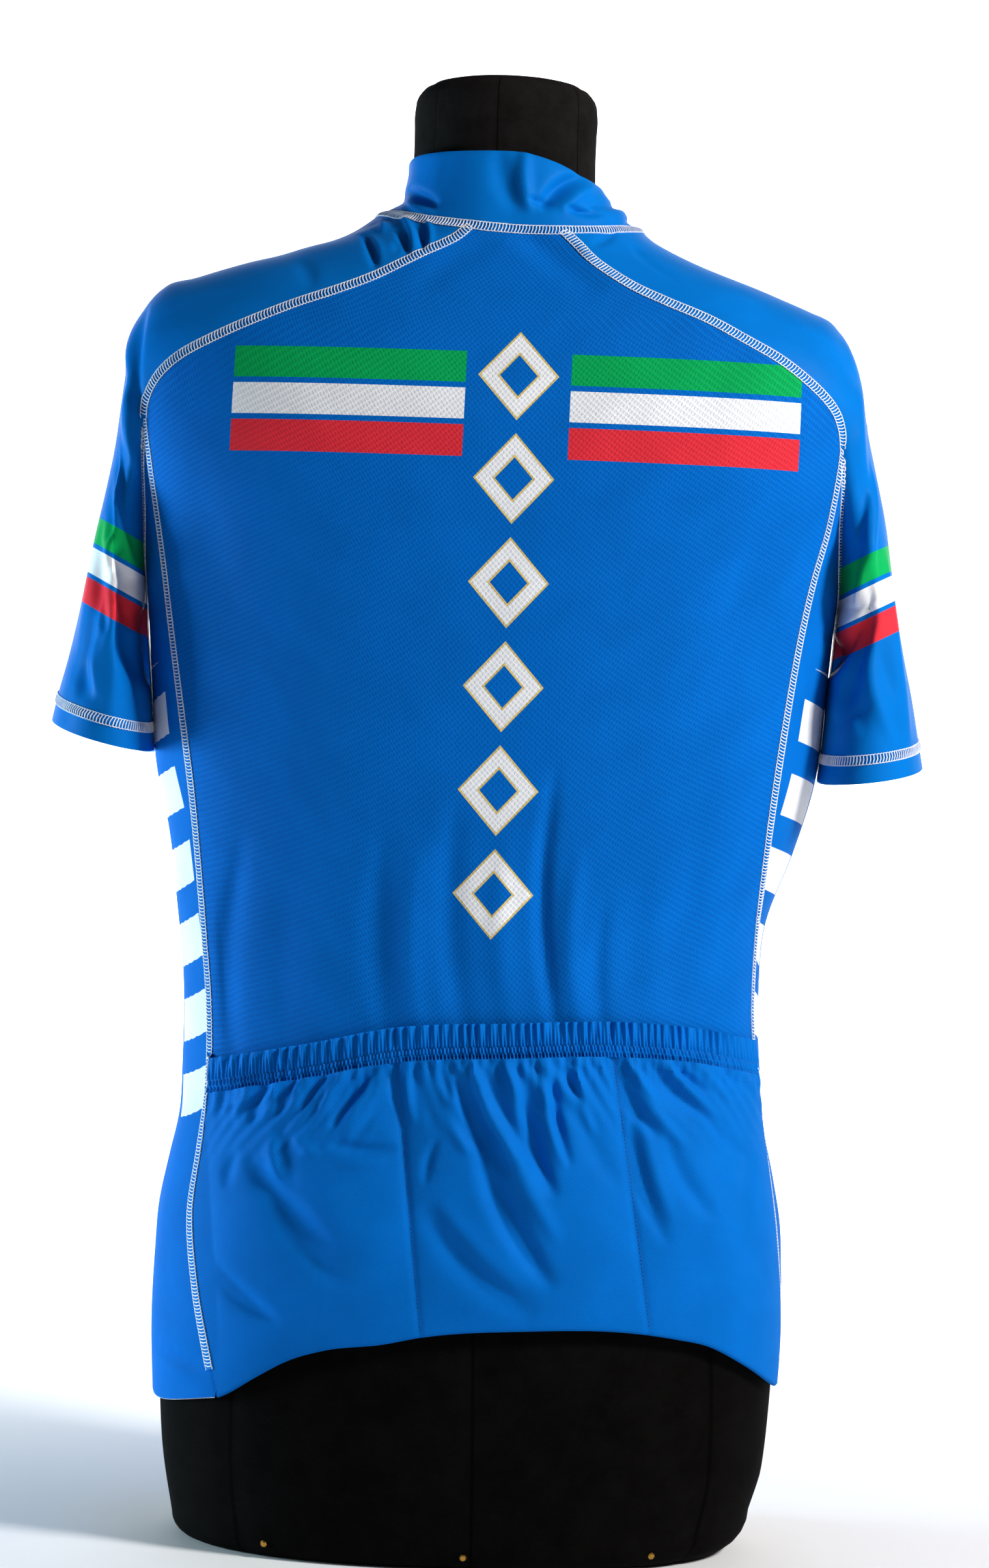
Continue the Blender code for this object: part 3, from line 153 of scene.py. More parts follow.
# Dress form.  A padded limbless torso, covered in black cotton cut in vertical panels and
# sewn with narrow seams that sink into the padding.  It ends in a flat base board.
FORM_BASE_ROUNDING = 0.012
FORM_WORN_ROUNDING = 0.014    # more on the wearer's right, where the corner is worn
SECTION_COLUMNS = ("z", "half_width", "back", "front", "squareness")
FORM_SECTIONS = (
    (0.012, 0.1860, 0.1165, 0.1085, 2.40),
    (0.050, 0.1930, 0.1215, 0.1120, 2.40),
    (0.095, 0.1968, 0.1225, 0.1130, 2.40),
    (0.145, 0.1980, 0.1215, 0.1130, 2.35),
    (0.192, 0.1955, 0.1190, 0.1120, 2.30),
    (0.240, 0.1870, 0.1135, 0.1080, 2.25),
    (0.290, 0.1785, 0.1050, 0.1045, 2.25),
    (0.340, 0.1740, 0.0980, 0.1040, 2.20),
    (0.400, 0.1770, 0.0970, 0.1080, 2.20),
    (0.470, 0.1860, 0.1020, 0.1160, 2.25),
    (0.540, 0.1930, 0.1080, 0.1220, 2.30),
    (0.610, 0.1985, 0.1130, 0.1240, 2.35),
    (0.670, 0.2010, 0.1150, 0.1190, 2.45),
    (0.710, 0.2030, 0.1125, 0.1110, 2.50),
    (0.745, 0.2040, 0.1055, 0.1005, 2.50),
    (0.770, 0.2025, 0.0990, 0.0900, 2.45),
    (0.786, 0.1985, 0.0925, 0.0830, 2.45),
    (0.799, 0.1850, 0.0855, 0.0765, 2.40),
    (0.809, 0.1610, 0.0795, 0.0715, 2.35),
    (0.8175, 0.1370, 0.0745, 0.0670, 2.30),
    (0.826, 0.1165, 0.0705, 0.0635, 2.30),
    (0.834, 0.1000, 0.0672, 0.0605, 2.30),
    (0.842, 0.0835, 0.0640, 0.0585, 2.25),
    (0.852, 0.0665, 0.0600, 0.0565, 2.15),
    (0.866, 0.0605, 0.0568, 0.0550, 2.10),
    (0.885, 0.0590, 0.0550, 0.0535, 2.10),
    (0.905, 0.0590, 0.0545, 0.0530, 2.10),
    (0.920, 0.0590, 0.0541, 0.0528, 2.10),
    (0.929, 0.0566, 0.0518, 0.0505, 2.15),
    (0.9350, 0.0490, 0.0445, 0.0435, 2.15),
    (0.9385, 0.0350, 0.0320, 0.0310, 2.00),
    (0.9395, 0.0170, 0.0155, 0.0150, 2.00),
)
FORM_LEAN = (        # z, shift
    (0.00, 0.0000), (0.78, 0.0000), (0.84, 0.0008), (0.87, 0.0014), (0.94, 0.0014),
)
# Each seam's angle at the base and at the top, in degrees from the middle of the back, +X first.
FORM_SEAMS = ((-4.0, 7.0), (58.0, 52.0), (-62.0, -52.0), (98.0, 95.0), (-98.0, -95.0),
              (136.0, 140.0), (-136.0, -140.0), (180.0, 180.0))
FORM_SEAM_TOP = 0.9           # height at which a seam has its upper angle
FORM_SEAM_DEPTH = 0.0009
FORM_SEAM_HALF_WIDTH = 0.0016
FORM_RADIUS = 0.12            # a usual distance from the axis to the cover
FORM_BASE_TOP = 0.05          # the base's rounding has faded out at this height
FORM_CROWN = 0.905            # the neck's rounded top starts here
FORM_CROWN_RISE = 0.0345


def column(rows, names, name):
    return np.array([row[names.index(name)] for row in rows], dtype=float)


def smooth(xs, ys):
    """A smooth curve through the points, level beyond its ends."""
    xs, ys = np.asarray(xs, dtype=float), np.asarray(ys, dtype=float)
    slopes = np.gradient(ys, xs)

    def value(x):
        x = np.clip(np.asarray(x, dtype=float), xs[0], xs[-1])
        i = np.clip(np.searchsorted(xs, x, side="right") - 1, 0, len(xs) - 2)
        step = xs[i + 1] - xs[i]
        t = (x - xs[i]) / step
        rise = ys[i + 1] - ys[i]
        bend = slopes[i] * step
        bend_end = slopes[i + 1] * step
        return (ys[i] + t * bend + t * t * (3 * rise - 2 * bend - bend_end)
                + t ** 3 * (bend + bend_end - 2 * rise))

    return value


def curve(rows):
    """A smooth curve through a table's two columns."""
    return smooth(*zip(*rows))


def sections(rows, shift):
    """A body's horizontal sections: superellipses by height."""
    shape = {name: smooth(column(rows, SECTION_COLUMNS, "z"), column(rows, SECTION_COLUMNS, name))
             for name in SECTION_COLUMNS[1:]}
    shape["shift"] = shift
    return shape


def object_place(tree):
    """Places in metres, in the frame that all the pieces share."""
    return add_node(tree, "ShaderNodeTexCoord").outputs["Object"]


def split(tree, vector):
    """The three parts of a vector."""
    parts = add_node(tree, "ShaderNodeSeparateXYZ", {}, {"Vector": vector})
    return parts.outputs["X"], parts.outputs["Y"], parts.outputs["Z"]


def apart(tree, one, other):
    """How far two values lie from each other."""
    return math_node(tree, "ABSOLUTE", math_node(tree, "SUBTRACT", one, other))


def two_tone(tree, value, low, high):
    """A colour that runs from one stop to another, each with its position and sRGB hex."""
    shade = add_node(tree, "ShaderNodeValToRGB", {}, {"Fac": value})
    for element, (position, hex_colour) in zip(shade.color_ramp.elements, (low, high)):
        element.position = position
        element.color = linear(hex_colour)
    return shade.outputs["Color"]


def add_bump(tree, shader, height, strength, distance):
    """Fine relief, as deep as the distance in metres."""
    bump = add_node(tree, "ShaderNodeBump", {}, {"Height": height, "Strength": strength,
                                                 "Distance": distance})
    tree.links.new(bump.outputs["Normal"], shader.inputs["Normal"])


form_lean = curve(FORM_LEAN)
form_shape = sections(FORM_SECTIONS, form_lean)

# A deep matt black that shows its weave, its lint and its seams only close up.
cotton, tree, shader = new_material("black_woven_cotton", roughness=0.88, specular_ior_level=0.03)
place = object_place(tree)
# Threads about 0.9 mm apart, coarser than the real cloth's so that they show.
warp, weft = (
    add_node(tree, "ShaderNodeTexWave", {"bands_direction": way}, {
        "Vector": place, "Scale": 350.0, "Distortion": 0.6, "Detail": 1.0, "Detail Scale": 2.0})
    for way in ("Z", "DIAGONAL"))
threads = add_node(tree, "ShaderNodeMix", {"data_type": "FLOAT"},
                   {0: 0.5, 2: warp.outputs["Fac"], 3: weft.outputs["Fac"]})
add_bump(tree, shader, threads.outputs[0], 0.35, 0.0004)
lint = add_node(tree, "ShaderNodeTexNoise", {}, {"Vector": place, "Scale": 38.0, "Detail": 6.0,
                                                 "Roughness": 0.7})
shade = two_tone(tree, lint.outputs["Fac"], (0.35, "#060505"), (0.75, "#0D0C0C"))
# A painted sheen pales the neck.  The sewn seams show as dark lines, at the angles of FORM_SEAMS.
x, y, z = split(tree, place)
painted_neck_sheen = add_node(tree, "ShaderNodeMapRange", {}, {"Value": z, "From Min": 0.60, "From Max": 0.90,
                                                  "To Min": 1.0, "To Max": 3.2})
angle = math_node(tree, "ARCTAN2", x, y)
share = math_node(tree, "DIVIDE", z, FORM_SEAM_TOP)
nearest = math_node(tree, "SUBTRACT", math.pi, math_node(tree, "ABSOLUTE", angle))
for low_angle, high_angle in FORM_SEAMS[:-1]:
    seam_at = math_node(tree, "MULTIPLY_ADD", share, math.radians(high_angle - low_angle),
                        math.radians(low_angle))
    nearest = math_node(tree, "MINIMUM", nearest, apart(tree, angle, seam_at))
sewn = add_node(tree, "ShaderNodeMapRange", {}, {"Value": nearest, "From Min": 0.004,
                                                 "From Max": 0.012, "To Min": 0.25, "To Max": 1.0})
# The painted sheen on the neck and the dark seams set the colour's value.
painted_sheen_and_seams = math_node(tree, "MULTIPLY", painted_neck_sheen.outputs["Result"], sewn.outputs["Result"])
sheened_and_sewn = add_node(tree, "ShaderNodeHueSaturation", {}, {"Color": shade, "Value": painted_sheen_and_seams})
tree.links.new(sheened_and_sewn.outputs["Color"], shader.inputs["Base Color"])

# Rings of points: round the base's rounded edge, up the body, and over the top of the neck.
around = np.linspace(-180.0, 180.0, 144, endpoint=False)
foot = FORM_SECTIONS[0][0]
edge_turns = np.radians(np.arange(0.0, 90.0, 15.0))
heights = np.concatenate([
    np.full(len(edge_turns), foot), np.linspace(foot, FORM_CROWN, 130),
    FORM_CROWN + FORM_CROWN_RISE * np.sin(np.radians(np.arange(6, 91, 6)))])
upright_turns = np.full(len(heights) - len(edge_turns), math.pi / 2)
verts, faces = [], []
for height, turn in zip(heights, np.concatenate([edge_turns, upright_turns])):
    seam_share = np.clip(height / FORM_SEAM_TOP, 0.0, 1.0)
    groove = np.zeros_like(around)
    for low_angle, high_angle in FORM_SEAMS:
        seam_angle = low_angle + (high_angle - low_angle) * seam_share
        off = (around - seam_angle + 180.0) % 360.0 - 180.0
        groove += np.exp(-(np.radians(off) * FORM_RADIUS / (2 * FORM_SEAM_HALF_WIDTH)) ** 2)
    power = float(form_shape["squareness"](height))
    half_width = float(form_shape["half_width"](height))
    for angle, sink in zip(np.radians(around), groove):
        x, y = math.sin(angle), math.cos(angle)
        radius = FORM_BASE_ROUNDING + FORM_WORN_ROUNDING * max(0.0, -x) ** 2
        up = np.clip((height - foot) / (FORM_BASE_TOP - foot), 0.0, 1.0)
        if height >= FORM_BASE_TOP:
            z = height
        elif turn < math.pi / 2:
            z = radius * (1 - math.cos(turn))
        else:
            z = radius + (FORM_BASE_TOP - radius) * up
        depth = float(form_shape["back" if y > 0 else "front"](height))
        scale = ((abs(x) / half_width) ** power + (abs(y) / depth) ** power) ** (-1 / power)
        scale = scale * (1 - sink * FORM_SEAM_DEPTH / FORM_RADIUS) - radius * (1 - math.sin(turn))
        verts.append((x * scale + float(form_lean(z)), y * scale, z))
ring = len(around)
for row in range(len(heights) - 1):
    for i in range(ring):
        j = (i + 1) % ring
        faces.append((row * ring + i, (row + 1) * ring + i, (row + 1) * ring + j, row * ring + j))
faces.append(tuple(range(ring)))
faces.append(tuple(range((len(heights) - 1) * ring, len(heights) * ring))[::-1])
form_cover = add_piece("form_cover", verts, faces, cotton)
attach(form_cover, "garment_on_form")
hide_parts("dress_form")


# Pins.  Brass dressmaker's pins with domed heads hold the cover down along its lower edge.
def paint_node(name, material):
    """Gives a solid of the frame its material."""
    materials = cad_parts[name].data.materials
    materials.clear()
    materials.append(material)


# Small warm glints against the black.
brass, _, _ = new_material("polished_brass", base_color=linear("#B98B3E"), metallic=1.0,
                           roughness=0.28)
for name in ("pin_1", "pin_2", "pin_3"):
    paint_node(name, brass)


# Back panel.  One piece of open polyester mesh, cut from collar to hem between the raglan and
# the side seams.  It hangs from the shoulder blades and catches on the pocket's elastic.
CLOTH = 0.0008                # a little more than the real knit's 0.5 mm
FORM_GAP = 0.0009             # air between cloth and form
LEFT, RIGHT = 1.0, -1.0       # the wearer's
SIDES = ((LEFT, "left"), (RIGHT, "right"))
BACK, FRONT = 1.0, -1.0
JERSEY_SECTIONS = (
    (0.080, 0.2005, 0.1250, 0.1180, 2.40),
    (0.140, 0.2032, 0.1275, 0.1195, 2.40),
    (0.180, 0.2022, 0.1280, 0.1205, 2.40),
    (0.210, 0.2005, 0.1272, 0.1210, 2.40),
    (0.240, 0.1950, 0.1250, 0.1210, 2.40),
    (0.270, 0.1888, 0.1220, 0.1205, 2.35),
    (0.300, 0.1870, 0.1190, 0.1200, 2.30),
    (0.330, 0.1857, 0.1165, 0.1200, 2.30),
    (0.360, 0.1861, 0.1145, 0.1205, 2.30),
    (0.400, 0.1899, 0.1125, 0.1225, 2.30),
    (0.450, 0.2021, 0.1125, 0.1265, 2.30),
    (0.490, 0.2124, 0.1140, 0.1300, 2.30),
    (0.550, 0.2180, 0.1165, 0.1335, 2.35),
    (0.605, 0.2225, 0.1190, 0.1335, 2.45),
    (0.650, 0.2275, 0.1205, 0.1300, 2.70),
    (0.690, 0.2333, 0.1205, 0.1240, 3.00),
    (0.720, 0.2370, 0.1175, 0.1165, 3.00),
    (0.750, 0.2365, 0.1110, 0.1070, 3.00),
    (0.775, 0.2310, 0.1020, 0.0960, 2.90),
    (0.800, 0.2160, 0.0905, 0.0840, 2.80),
    (0.820, 0.2000, 0.0795, 0.0735, 2.70),
    (0.836, 0.1850, 0.0715, 0.0680, 2.60),
    (0.860, 0.1700, 0.0650, 0.0620, 2.50),
)
JERSEY_LEAN = (      # z, shift
    (0.08, 0.0000), (0.20, 0.0006), (0.27, 0.0012), (0.33, 0.0038), (0.36, 0.0049),
    (0.40, 0.0062), (0.45, 0.0012), (0.49, 0.0003), (0.60, 0.0000), (0.90, 0.0000),
)
SEAM_COLUMNS = ("x_left", "z_left", "x_right", "z_right")
RAGLAN_END = 11.0             # the row of BACK_SEAM where the raglan meets the armhole
BACK_SEAM = (
    (0.0212, 0.8367, 0.0368, 0.8351),
    (0.0312, 0.8276, 0.0460, 0.8265),
    (0.0511, 0.8167, 0.0585, 0.8140),
    (0.0795, 0.8005, 0.0800, 0.8000),
    (0.1040, 0.7900, 0.1023, 0.7900),
    (0.1289, 0.7807, 0.1290, 0.7795),
    (0.1585, 0.7680, 0.1531, 0.7674),
    (0.1793, 0.7582, 0.1750, 0.7560),
    (0.1990, 0.7478, 0.1940, 0.7428),
    (0.2125, 0.7365, 0.2081, 0.7301),
    (0.2200, 0.7240, 0.2146, 0.7185),
    (0.2224, 0.7090, 0.2168, 0.7040),
    (0.2185, 0.6840, 0.2143, 0.6800),
    (0.2140, 0.6560, 0.2098, 0.6520),
    (0.2080, 0.6200, 0.2015, 0.6180),
    (0.2015, 0.5770, 0.1938, 0.5760),
    (0.1932, 0.5270, 0.1870, 0.5260),
    (0.1855, 0.4800, 0.1818, 0.4800),
    (0.1795, 0.4330, 0.1780, 0.4330),
    (0.1740, 0.3860, 0.1755, 0.3860),
    (0.1690, 0.3400, 0.1755, 0.3400),
    (0.1675, 0.2950, 0.1810, 0.2950),
    (0.1715, 0.2500, 0.1882, 0.2500),
    (0.1755, 0.2080, 0.1945, 0.2080),
    (0.1700, 0.1640, 0.1990, 0.1660),
    (0.1610, 0.1240, 0.2000, 0.1330),
    (0.1550, 0.0985, 0.1990, 0.1090),
)
FRONT_RAGLAN = (     # x, z
    (0.0580, 0.8270), (0.0650, 0.8205), (0.0750, 0.8120), (0.0900, 0.8010),
    (0.1080, 0.7895), (0.1300, 0.7780), (0.1520, 0.7675), (0.1720, 0.7570),
    (0.1910, 0.7445), (0.2060, 0.7310), (0.2145, 0.7180), (0.2172, 0.7035),
)
NECKLINE = (
    (0.0035, -0.0850, 0.7950), (0.0300, -0.0805, 0.8040), (0.0580, -0.0690, 0.8270),
    (0.0760, -0.0380, 0.8430), (0.0820, -0.0040, 0.8515), (0.0715, 0.0340, 0.8475),
    (0.0500, 0.0575, 0.8410), (0.0212, 0.0710, 0.8367), (-0.0078, 0.0725, 0.8347),
    (-0.0368, 0.0712, 0.8351), (-0.0630, 0.0580, 0.8380), (-0.0815, 0.0330, 0.8432),
    (-0.0885, -0.0040, 0.8470), (-0.0800, -0.0400, 0.8390), (-0.0580, -0.0690, 0.8270),
    (-0.0300, -0.0805, 0.8040), (-0.0035, -0.0850, 0.7950),
)
NECK_STEPS = len(NECKLINE) - 1
RAGLAN_FRONT_AT, RAGLAN_BACK_AT = 2, 7
BACK_HEM = (         # x, z
    (-0.2000, 0.1080), (-0.1810, 0.1247), (-0.1667, 0.1346), (-0.1520, 0.1427),
    (-0.1290, 0.1488), (-0.1034, 0.1528), (-0.0332, 0.1532), (0.0286, 0.1472),
    (0.0506, 0.1422), (0.0860, 0.1365), (0.1070, 0.1293), (0.1300, 0.1154),
    (0.1480, 0.1030), (0.1600, 0.0970),
)
POCKET_TOP = (       # x, z
    (-0.1900, 0.3250), (-0.1765, 0.3283), (-0.1400, 0.3370), (-0.0920, 0.3413),
    (-0.0200, 0.3388), (0.0515, 0.3335), (0.1000, 0.3220), (0.1578, 0.3091),
    (0.1750, 0.3050),
)
BACK_HEM_ABOVE = 0.0035       # the back ends this far above the pocket's rolled edge
# Creases: x and z of one end and of the other, a half width, a depth pressed in (a ridge has
# less than nothing), and a roll that raises one bank above the other.
BACK_CREASES = (
    (-0.0430, 0.500, -0.0520, 0.318, 0.0052, 0.0044, 0.0026),
    (-0.0600, 0.450, -0.0690, 0.318, 0.0070, -0.0030, 0.0),
    (-0.0760, 0.420, -0.0810, 0.318, 0.0056, 0.0020, 0.0012),
    (0.0180, 0.480, 0.0050, 0.318, 0.0090, 0.0026, 0.0014),
    (0.0390, 0.450, 0.0330, 0.318, 0.0080, -0.0024, 0.0),
    (0.0620, 0.460, 0.0540, 0.318, 0.0100, 0.0026, 0.0016),
    (-0.0160, 0.460, -0.0260, 0.318, 0.0080, -0.0018, 0.0),
    (0.1500, 0.450, 0.1500, 0.296, 0.0080, 0.0034, 0.0016),
    (0.1180, 0.430, 0.1120, 0.305, 0.0110, 0.0020, 0.0),
    (-0.1000, 0.440, -0.1000, 0.320, 0.0110, 0.0016, 0.0008),
    (-0.1350, 0.440, -0.1260, 0.320, 0.0130, 0.0022, 0.0),
    (-0.0008, 0.827, -0.0600, 0.820, 0.0080, 0.0020, 0.0010),
    (-0.0080, 0.834, -0.0640, 0.794, 0.0090, 0.0020, 0.0010),
    (0.0060, 0.826, 0.0560, 0.788, 0.0100, 0.0014, 0.0),
    (0.1900, 0.690, 0.1500, 0.560, 0.0150, 0.0016, 0.0012),
    (-0.1850, 0.690, -0.1450, 0.580, 0.0150, 0.0016, 0.0012),
    (0.1500, 0.480, 0.1350, 0.330, 0.0160, 0.0014, 0.0),
    (-0.1700, 0.560, -0.1500, 0.380, 0.0140, -0.0018, 0.0),
)


def y_on(shape, x, z, facing):
    """Where the section at height z has the width x, at its back or its front."""
    power = shape["squareness"](z)
    depth = np.where(np.asarray(facing) > 0, shape["back"](z), shape["front"](z))
    share = np.clip(np.abs(x - shape["shift"](z)) / shape["half_width"](z), 0.0, 0.999)
    return facing * depth * (1 - share ** power) ** (1 / power)


def x_on(shape, y, z, side):
    """Where the section at height z has the depth y, at its left or its right."""
    power = shape["squareness"](z)
    depth = np.where(np.asarray(y) > 0, shape["back"](z), shape["front"](z))
    share = np.clip(np.abs(y) / depth, 0.0, 0.999)
    return shape["shift"](z) + side * shape["half_width"](z) * (1 - share ** power) ** (1 / power)


def on_section(shape, x, z, facing):
    """Points of a body's surface, at its back or its front."""
    x, z = np.broadcast_arrays(np.asarray(x, dtype=float), np.asarray(z, dtype=float))
    return np.stack([x, y_on(shape, x, z, facing), z], axis=-1)


def reach(shape, points):
    """1 on the surface, less inside it and more outside."""
    x, y, z = points[..., 0], points[..., 1], points[..., 2]
    power = shape["squareness"](z)
    depth = np.where(y > 0, shape["back"](z), shape["front"](z))
    across = np.abs(x - shape["shift"](z)) / shape["half_width"](z)
    return (across ** power + (np.abs(y) / depth) ** power + 1e-12) ** (1 / power)


def outward(shape, points):
    """The direction away from the surface, and how far off it each point is."""
    step = 1e-4
    slope = np.empty_like(points)
    for axis in range(3):
        move = np.zeros(3)
        move[axis] = step
        slope[..., axis] = (reach(shape, points + move) - reach(shape, points - move)) / (2 * step)
    size = np.linalg.norm(slope, axis=-1, keepdims=True)
    return slope / size, (reach(shape, points)[..., None] - 1) / size


def keep_clear(shape, points, gap):
    """Moves out whatever lies nearer to the surface than the gap, a little at a time."""
    for _ in range(4):
        away, distance = outward(shape, points)
        points = points + away * np.clip(gap - distance, 0.0, 0.02)
    return points


def unit(vectors):
    """The same directions, each with a length of 1."""
    return vectors / np.maximum(np.linalg.norm(vectors, axis=-1, keepdims=True), 1e-12)


def grid_normals(points):
    """The way that a grid of points faces at each of them."""
    return unit(np.cross(np.gradient(points, axis=1), np.gradient(points, axis=0)))


def move_out(points, amounts):
    """Moves a grid's points along its own normals."""
    return points + grid_normals(points) * np.asarray(amounts)[..., None]


def creases(rows, a, b):
    """How far the creases push each point in."""
    depth = np.zeros(np.broadcast(a, b).shape)
    for from_a, from_b, to_a, to_b, half_width, most, roll in rows:
        run_a, run_b = to_a - from_a, to_b - from_b
        length = math.hypot(run_a, run_b)
        share = ((a - from_a) * run_a + (b - from_b) * run_b) / length ** 2
        # A crease bows a little and narrows towards its ends.
        bow = 0.06 * length * np.sin(math.pi * np.clip(share, 0.0, 1.0))
        off = ((a - from_a) * run_b - (b - from_b) * run_a) / length + bow
        ends = np.clip(1 - (2 * share - 1) ** 2, 0.0, 1.0)
        near = off / (half_width * (0.6 + 0.4 * ends))
        depth = depth + ends * np.exp(-near ** 2) * (most + roll * near)
    return depth


def share_path(rows):
    """A smooth path through points in space, by the share of the rows passed."""
    shares = np.linspace(0.0, 1.0, len(rows))
    parts = [smooth(shares, [row[axis] for row in rows]) for axis in range(3)]
    return lambda share: np.stack([part(share) for part in parts], axis=-1)


def spread(count, bend=1.15):
    """Steps from 0 to 1, closer together towards the ends."""
    return (np.sin(np.linspace(-bend, bend, count)) / math.sin(bend) + 1) / 2


jersey = sections(JERSEY_SECTIONS, curve(JERSEY_LEAN))
neckline = share_path(NECKLINE)
back_hem = curve(BACK_HEM)
pocket_top = curve(POCKET_TOP)


def neck_share(side, facing):
    """Where a raglan meets the neckline, by the share of the way round."""
    row = RAGLAN_BACK_AT if facing > 0 else RAGLAN_FRONT_AT
    return row / NECK_STEPS if side > 0 else 1 - row / NECK_STEPS


def seam(side, facing, rows):
    """Points of a side's back or front seam at the given rows of its table.  Below the arms
    the front's side seams mirror those of the back, from one side to the other."""
    number = np.arange(len(BACK_SEAM))
    word = "left" if side * facing > 0 else "right"
    x = column(BACK_SEAM, SEAM_COLUMNS, "x_" + word)
    z = column(BACK_SEAM, SEAM_COLUMNS, "z_" + word)
    if facing < 0:
        x[:len(FRONT_RAGLAN)], z[:len(FRONT_RAGLAN)] = zip(*FRONT_RAGLAN)
    points = on_section(jersey, side * smooth(number, x)(rows), smooth(number, z)(rows), facing)
    start = neckline(neck_share(side, facing))
    near_neck = np.clip(1 - np.asarray(rows), 0.0, 1.0)[..., None]
    return points + (start - points) * near_neck ** 2


def cloth_piece(name, points, material, thickness=CLOTH, turn=1.0, middle=0.5, straight=False,
                from_hem=False):
    """A closed thin shell whose outer face is the grid; turn is -1 where the grid's normals
    point in.  Its UVs are in metres of cloth, from the middle column and the top row or the
    hem, and follow the grid's own lines where the knit has to run straight through gathers.
    Columns that meet are joined."""
    rows, columns = points.shape[:2]
    normals = turn * grid_normals(points)
    meets = np.linalg.norm(points[:, 0] - points[:, -1], axis=-1) < 1e-5
    together = unit(normals[:, 0] + normals[:, -1])
    normals[meets, 0] = together[meets]
    normals[meets, -1] = together[meets]
    inner = points - normals * thickness
    ids = np.arange(rows * columns).reshape(rows, columns)
    vertex = ids.copy()
    vertex[meets, -1] = vertex[meets, 0]
    along = np.linalg.norm(np.diff(points, axis=1), axis=-1)
    down = np.linalg.norm(np.diff(points, axis=0), axis=-1)
    if straight:
        along = np.broadcast_to(along.mean(axis=0), along.shape)
        down = np.broadcast_to(down.mean(axis=1, keepdims=True), down.shape)
    u = np.concatenate([np.zeros((rows, 1)), np.cumsum(along, axis=1)], axis=1)
    centre = int(round(middle * (columns - 1)))
    u = u - u[:, centre:centre + 1]
    v = -np.concatenate([np.zeros((1, columns)), np.cumsum(down, axis=0)], axis=0)
    v = v - v[-1:] if from_hem else v
    uv = np.stack([u, v], axis=-1).reshape(-1, 2)
    a, b = ids[:-1, :-1].ravel(), ids[:-1, 1:].ravel()
    c, d = ids[1:, 1:].ravel(), ids[1:, :-1].ravel()
    outer_faces = np.stack([a, b, c, d] if turn > 0 else [d, c, b, a], axis=-1)
    total = rows * columns
    rims = [ids[0, ::-1], ids[-1]]
    bands = [np.stack([rim[:-1], rim[1:], rim[1:] + total, rim[:-1] + total], axis=-1)
             for rim in rims]
    for at, way in ((0, 1), (-1, -1)):
        edge = ids[:, at][::way]
        keep = ~(meets[::way][:-1] & meets[::way][1:])
        band = np.stack([edge[:-1], edge[1:], edge[1:] + total, edge[:-1] + total], axis=-1)
        bands.append(band[keep])
    rim_faces = np.concatenate(bands)
    if turn < 0:
        rim_faces = rim_faces[:, ::-1]
    faces = np.concatenate([outer_faces, outer_faces[:, ::-1] + total, rim_faces])
    lookup = np.concatenate([vertex.ravel(), vertex.ravel() + total])
    corners = np.concatenate([uv, uv])[faces.ravel()]
    used, compact = np.unique(lookup[faces.ravel()], return_inverse=True)
    verts = np.concatenate([points.reshape(-1, 3), inner.reshape(-1, 3)])[used]
    return add_piece(name, verts, compact.reshape(-1, 4), material, corners)


def back_points(row_count, column_count):
    """The back panel's outer face, from the neck down and from right to left."""
    rows = np.linspace(0.0, len(BACK_SEAM) - 1, row_count)
    left, right = seam(LEFT, BACK, rows), seam(RIGHT, BACK, rows)
    share = spread(column_count)
    x = right[:, None, 0] + (left[:, None, 0] - right[:, None, 0]) * share
    z = right[:, None, 2] + (left[:, None, 2] - right[:, None, 2]) * share
    rise = back_hem(x[-1]) + BACK_HEM_ABOVE - z[-1]
    rise[0], rise[-1] = 0.0, 0.0
    from_hem = np.clip(1 - (len(BACK_SEAM) - 1 - rows) / 8, 0.0, 1.0)[:, None] ** 1.5
    z = z + rise * from_hem
    points = on_section(jersey, x, z, BACK)
    neck = neckline(neck_share(RIGHT, BACK)
                    + (neck_share(LEFT, BACK) - neck_share(RIGHT, BACK)) * share)
    near_neck = np.clip(1 - rows, 0.0, 1.0)[:, None, None] ** 2
    points = points + (neck - points[0]) * near_neck
    edge = np.clip(np.minimum(share, 1 - share) / 0.03, 0.0, 1.0)
    above_pocket = np.clip((z - pocket_top(x) + 0.012) / 0.012, 0.0, 1.0)
    depth = creases(BACK_CREASES, x, z) * edge * above_pocket
    points = points - depth[..., None] * np.array([0.0, 1.0, 0.0])
    return keep_clear(form_shape, points, CLOTH + FORM_GAP)


def cloth_place(tree):
    """Places in metres of cloth, along its rows and down its wales."""
    return add_node(tree, "ShaderNodeUVMap", {"uv_map": "cloth"}).outputs["UV"]


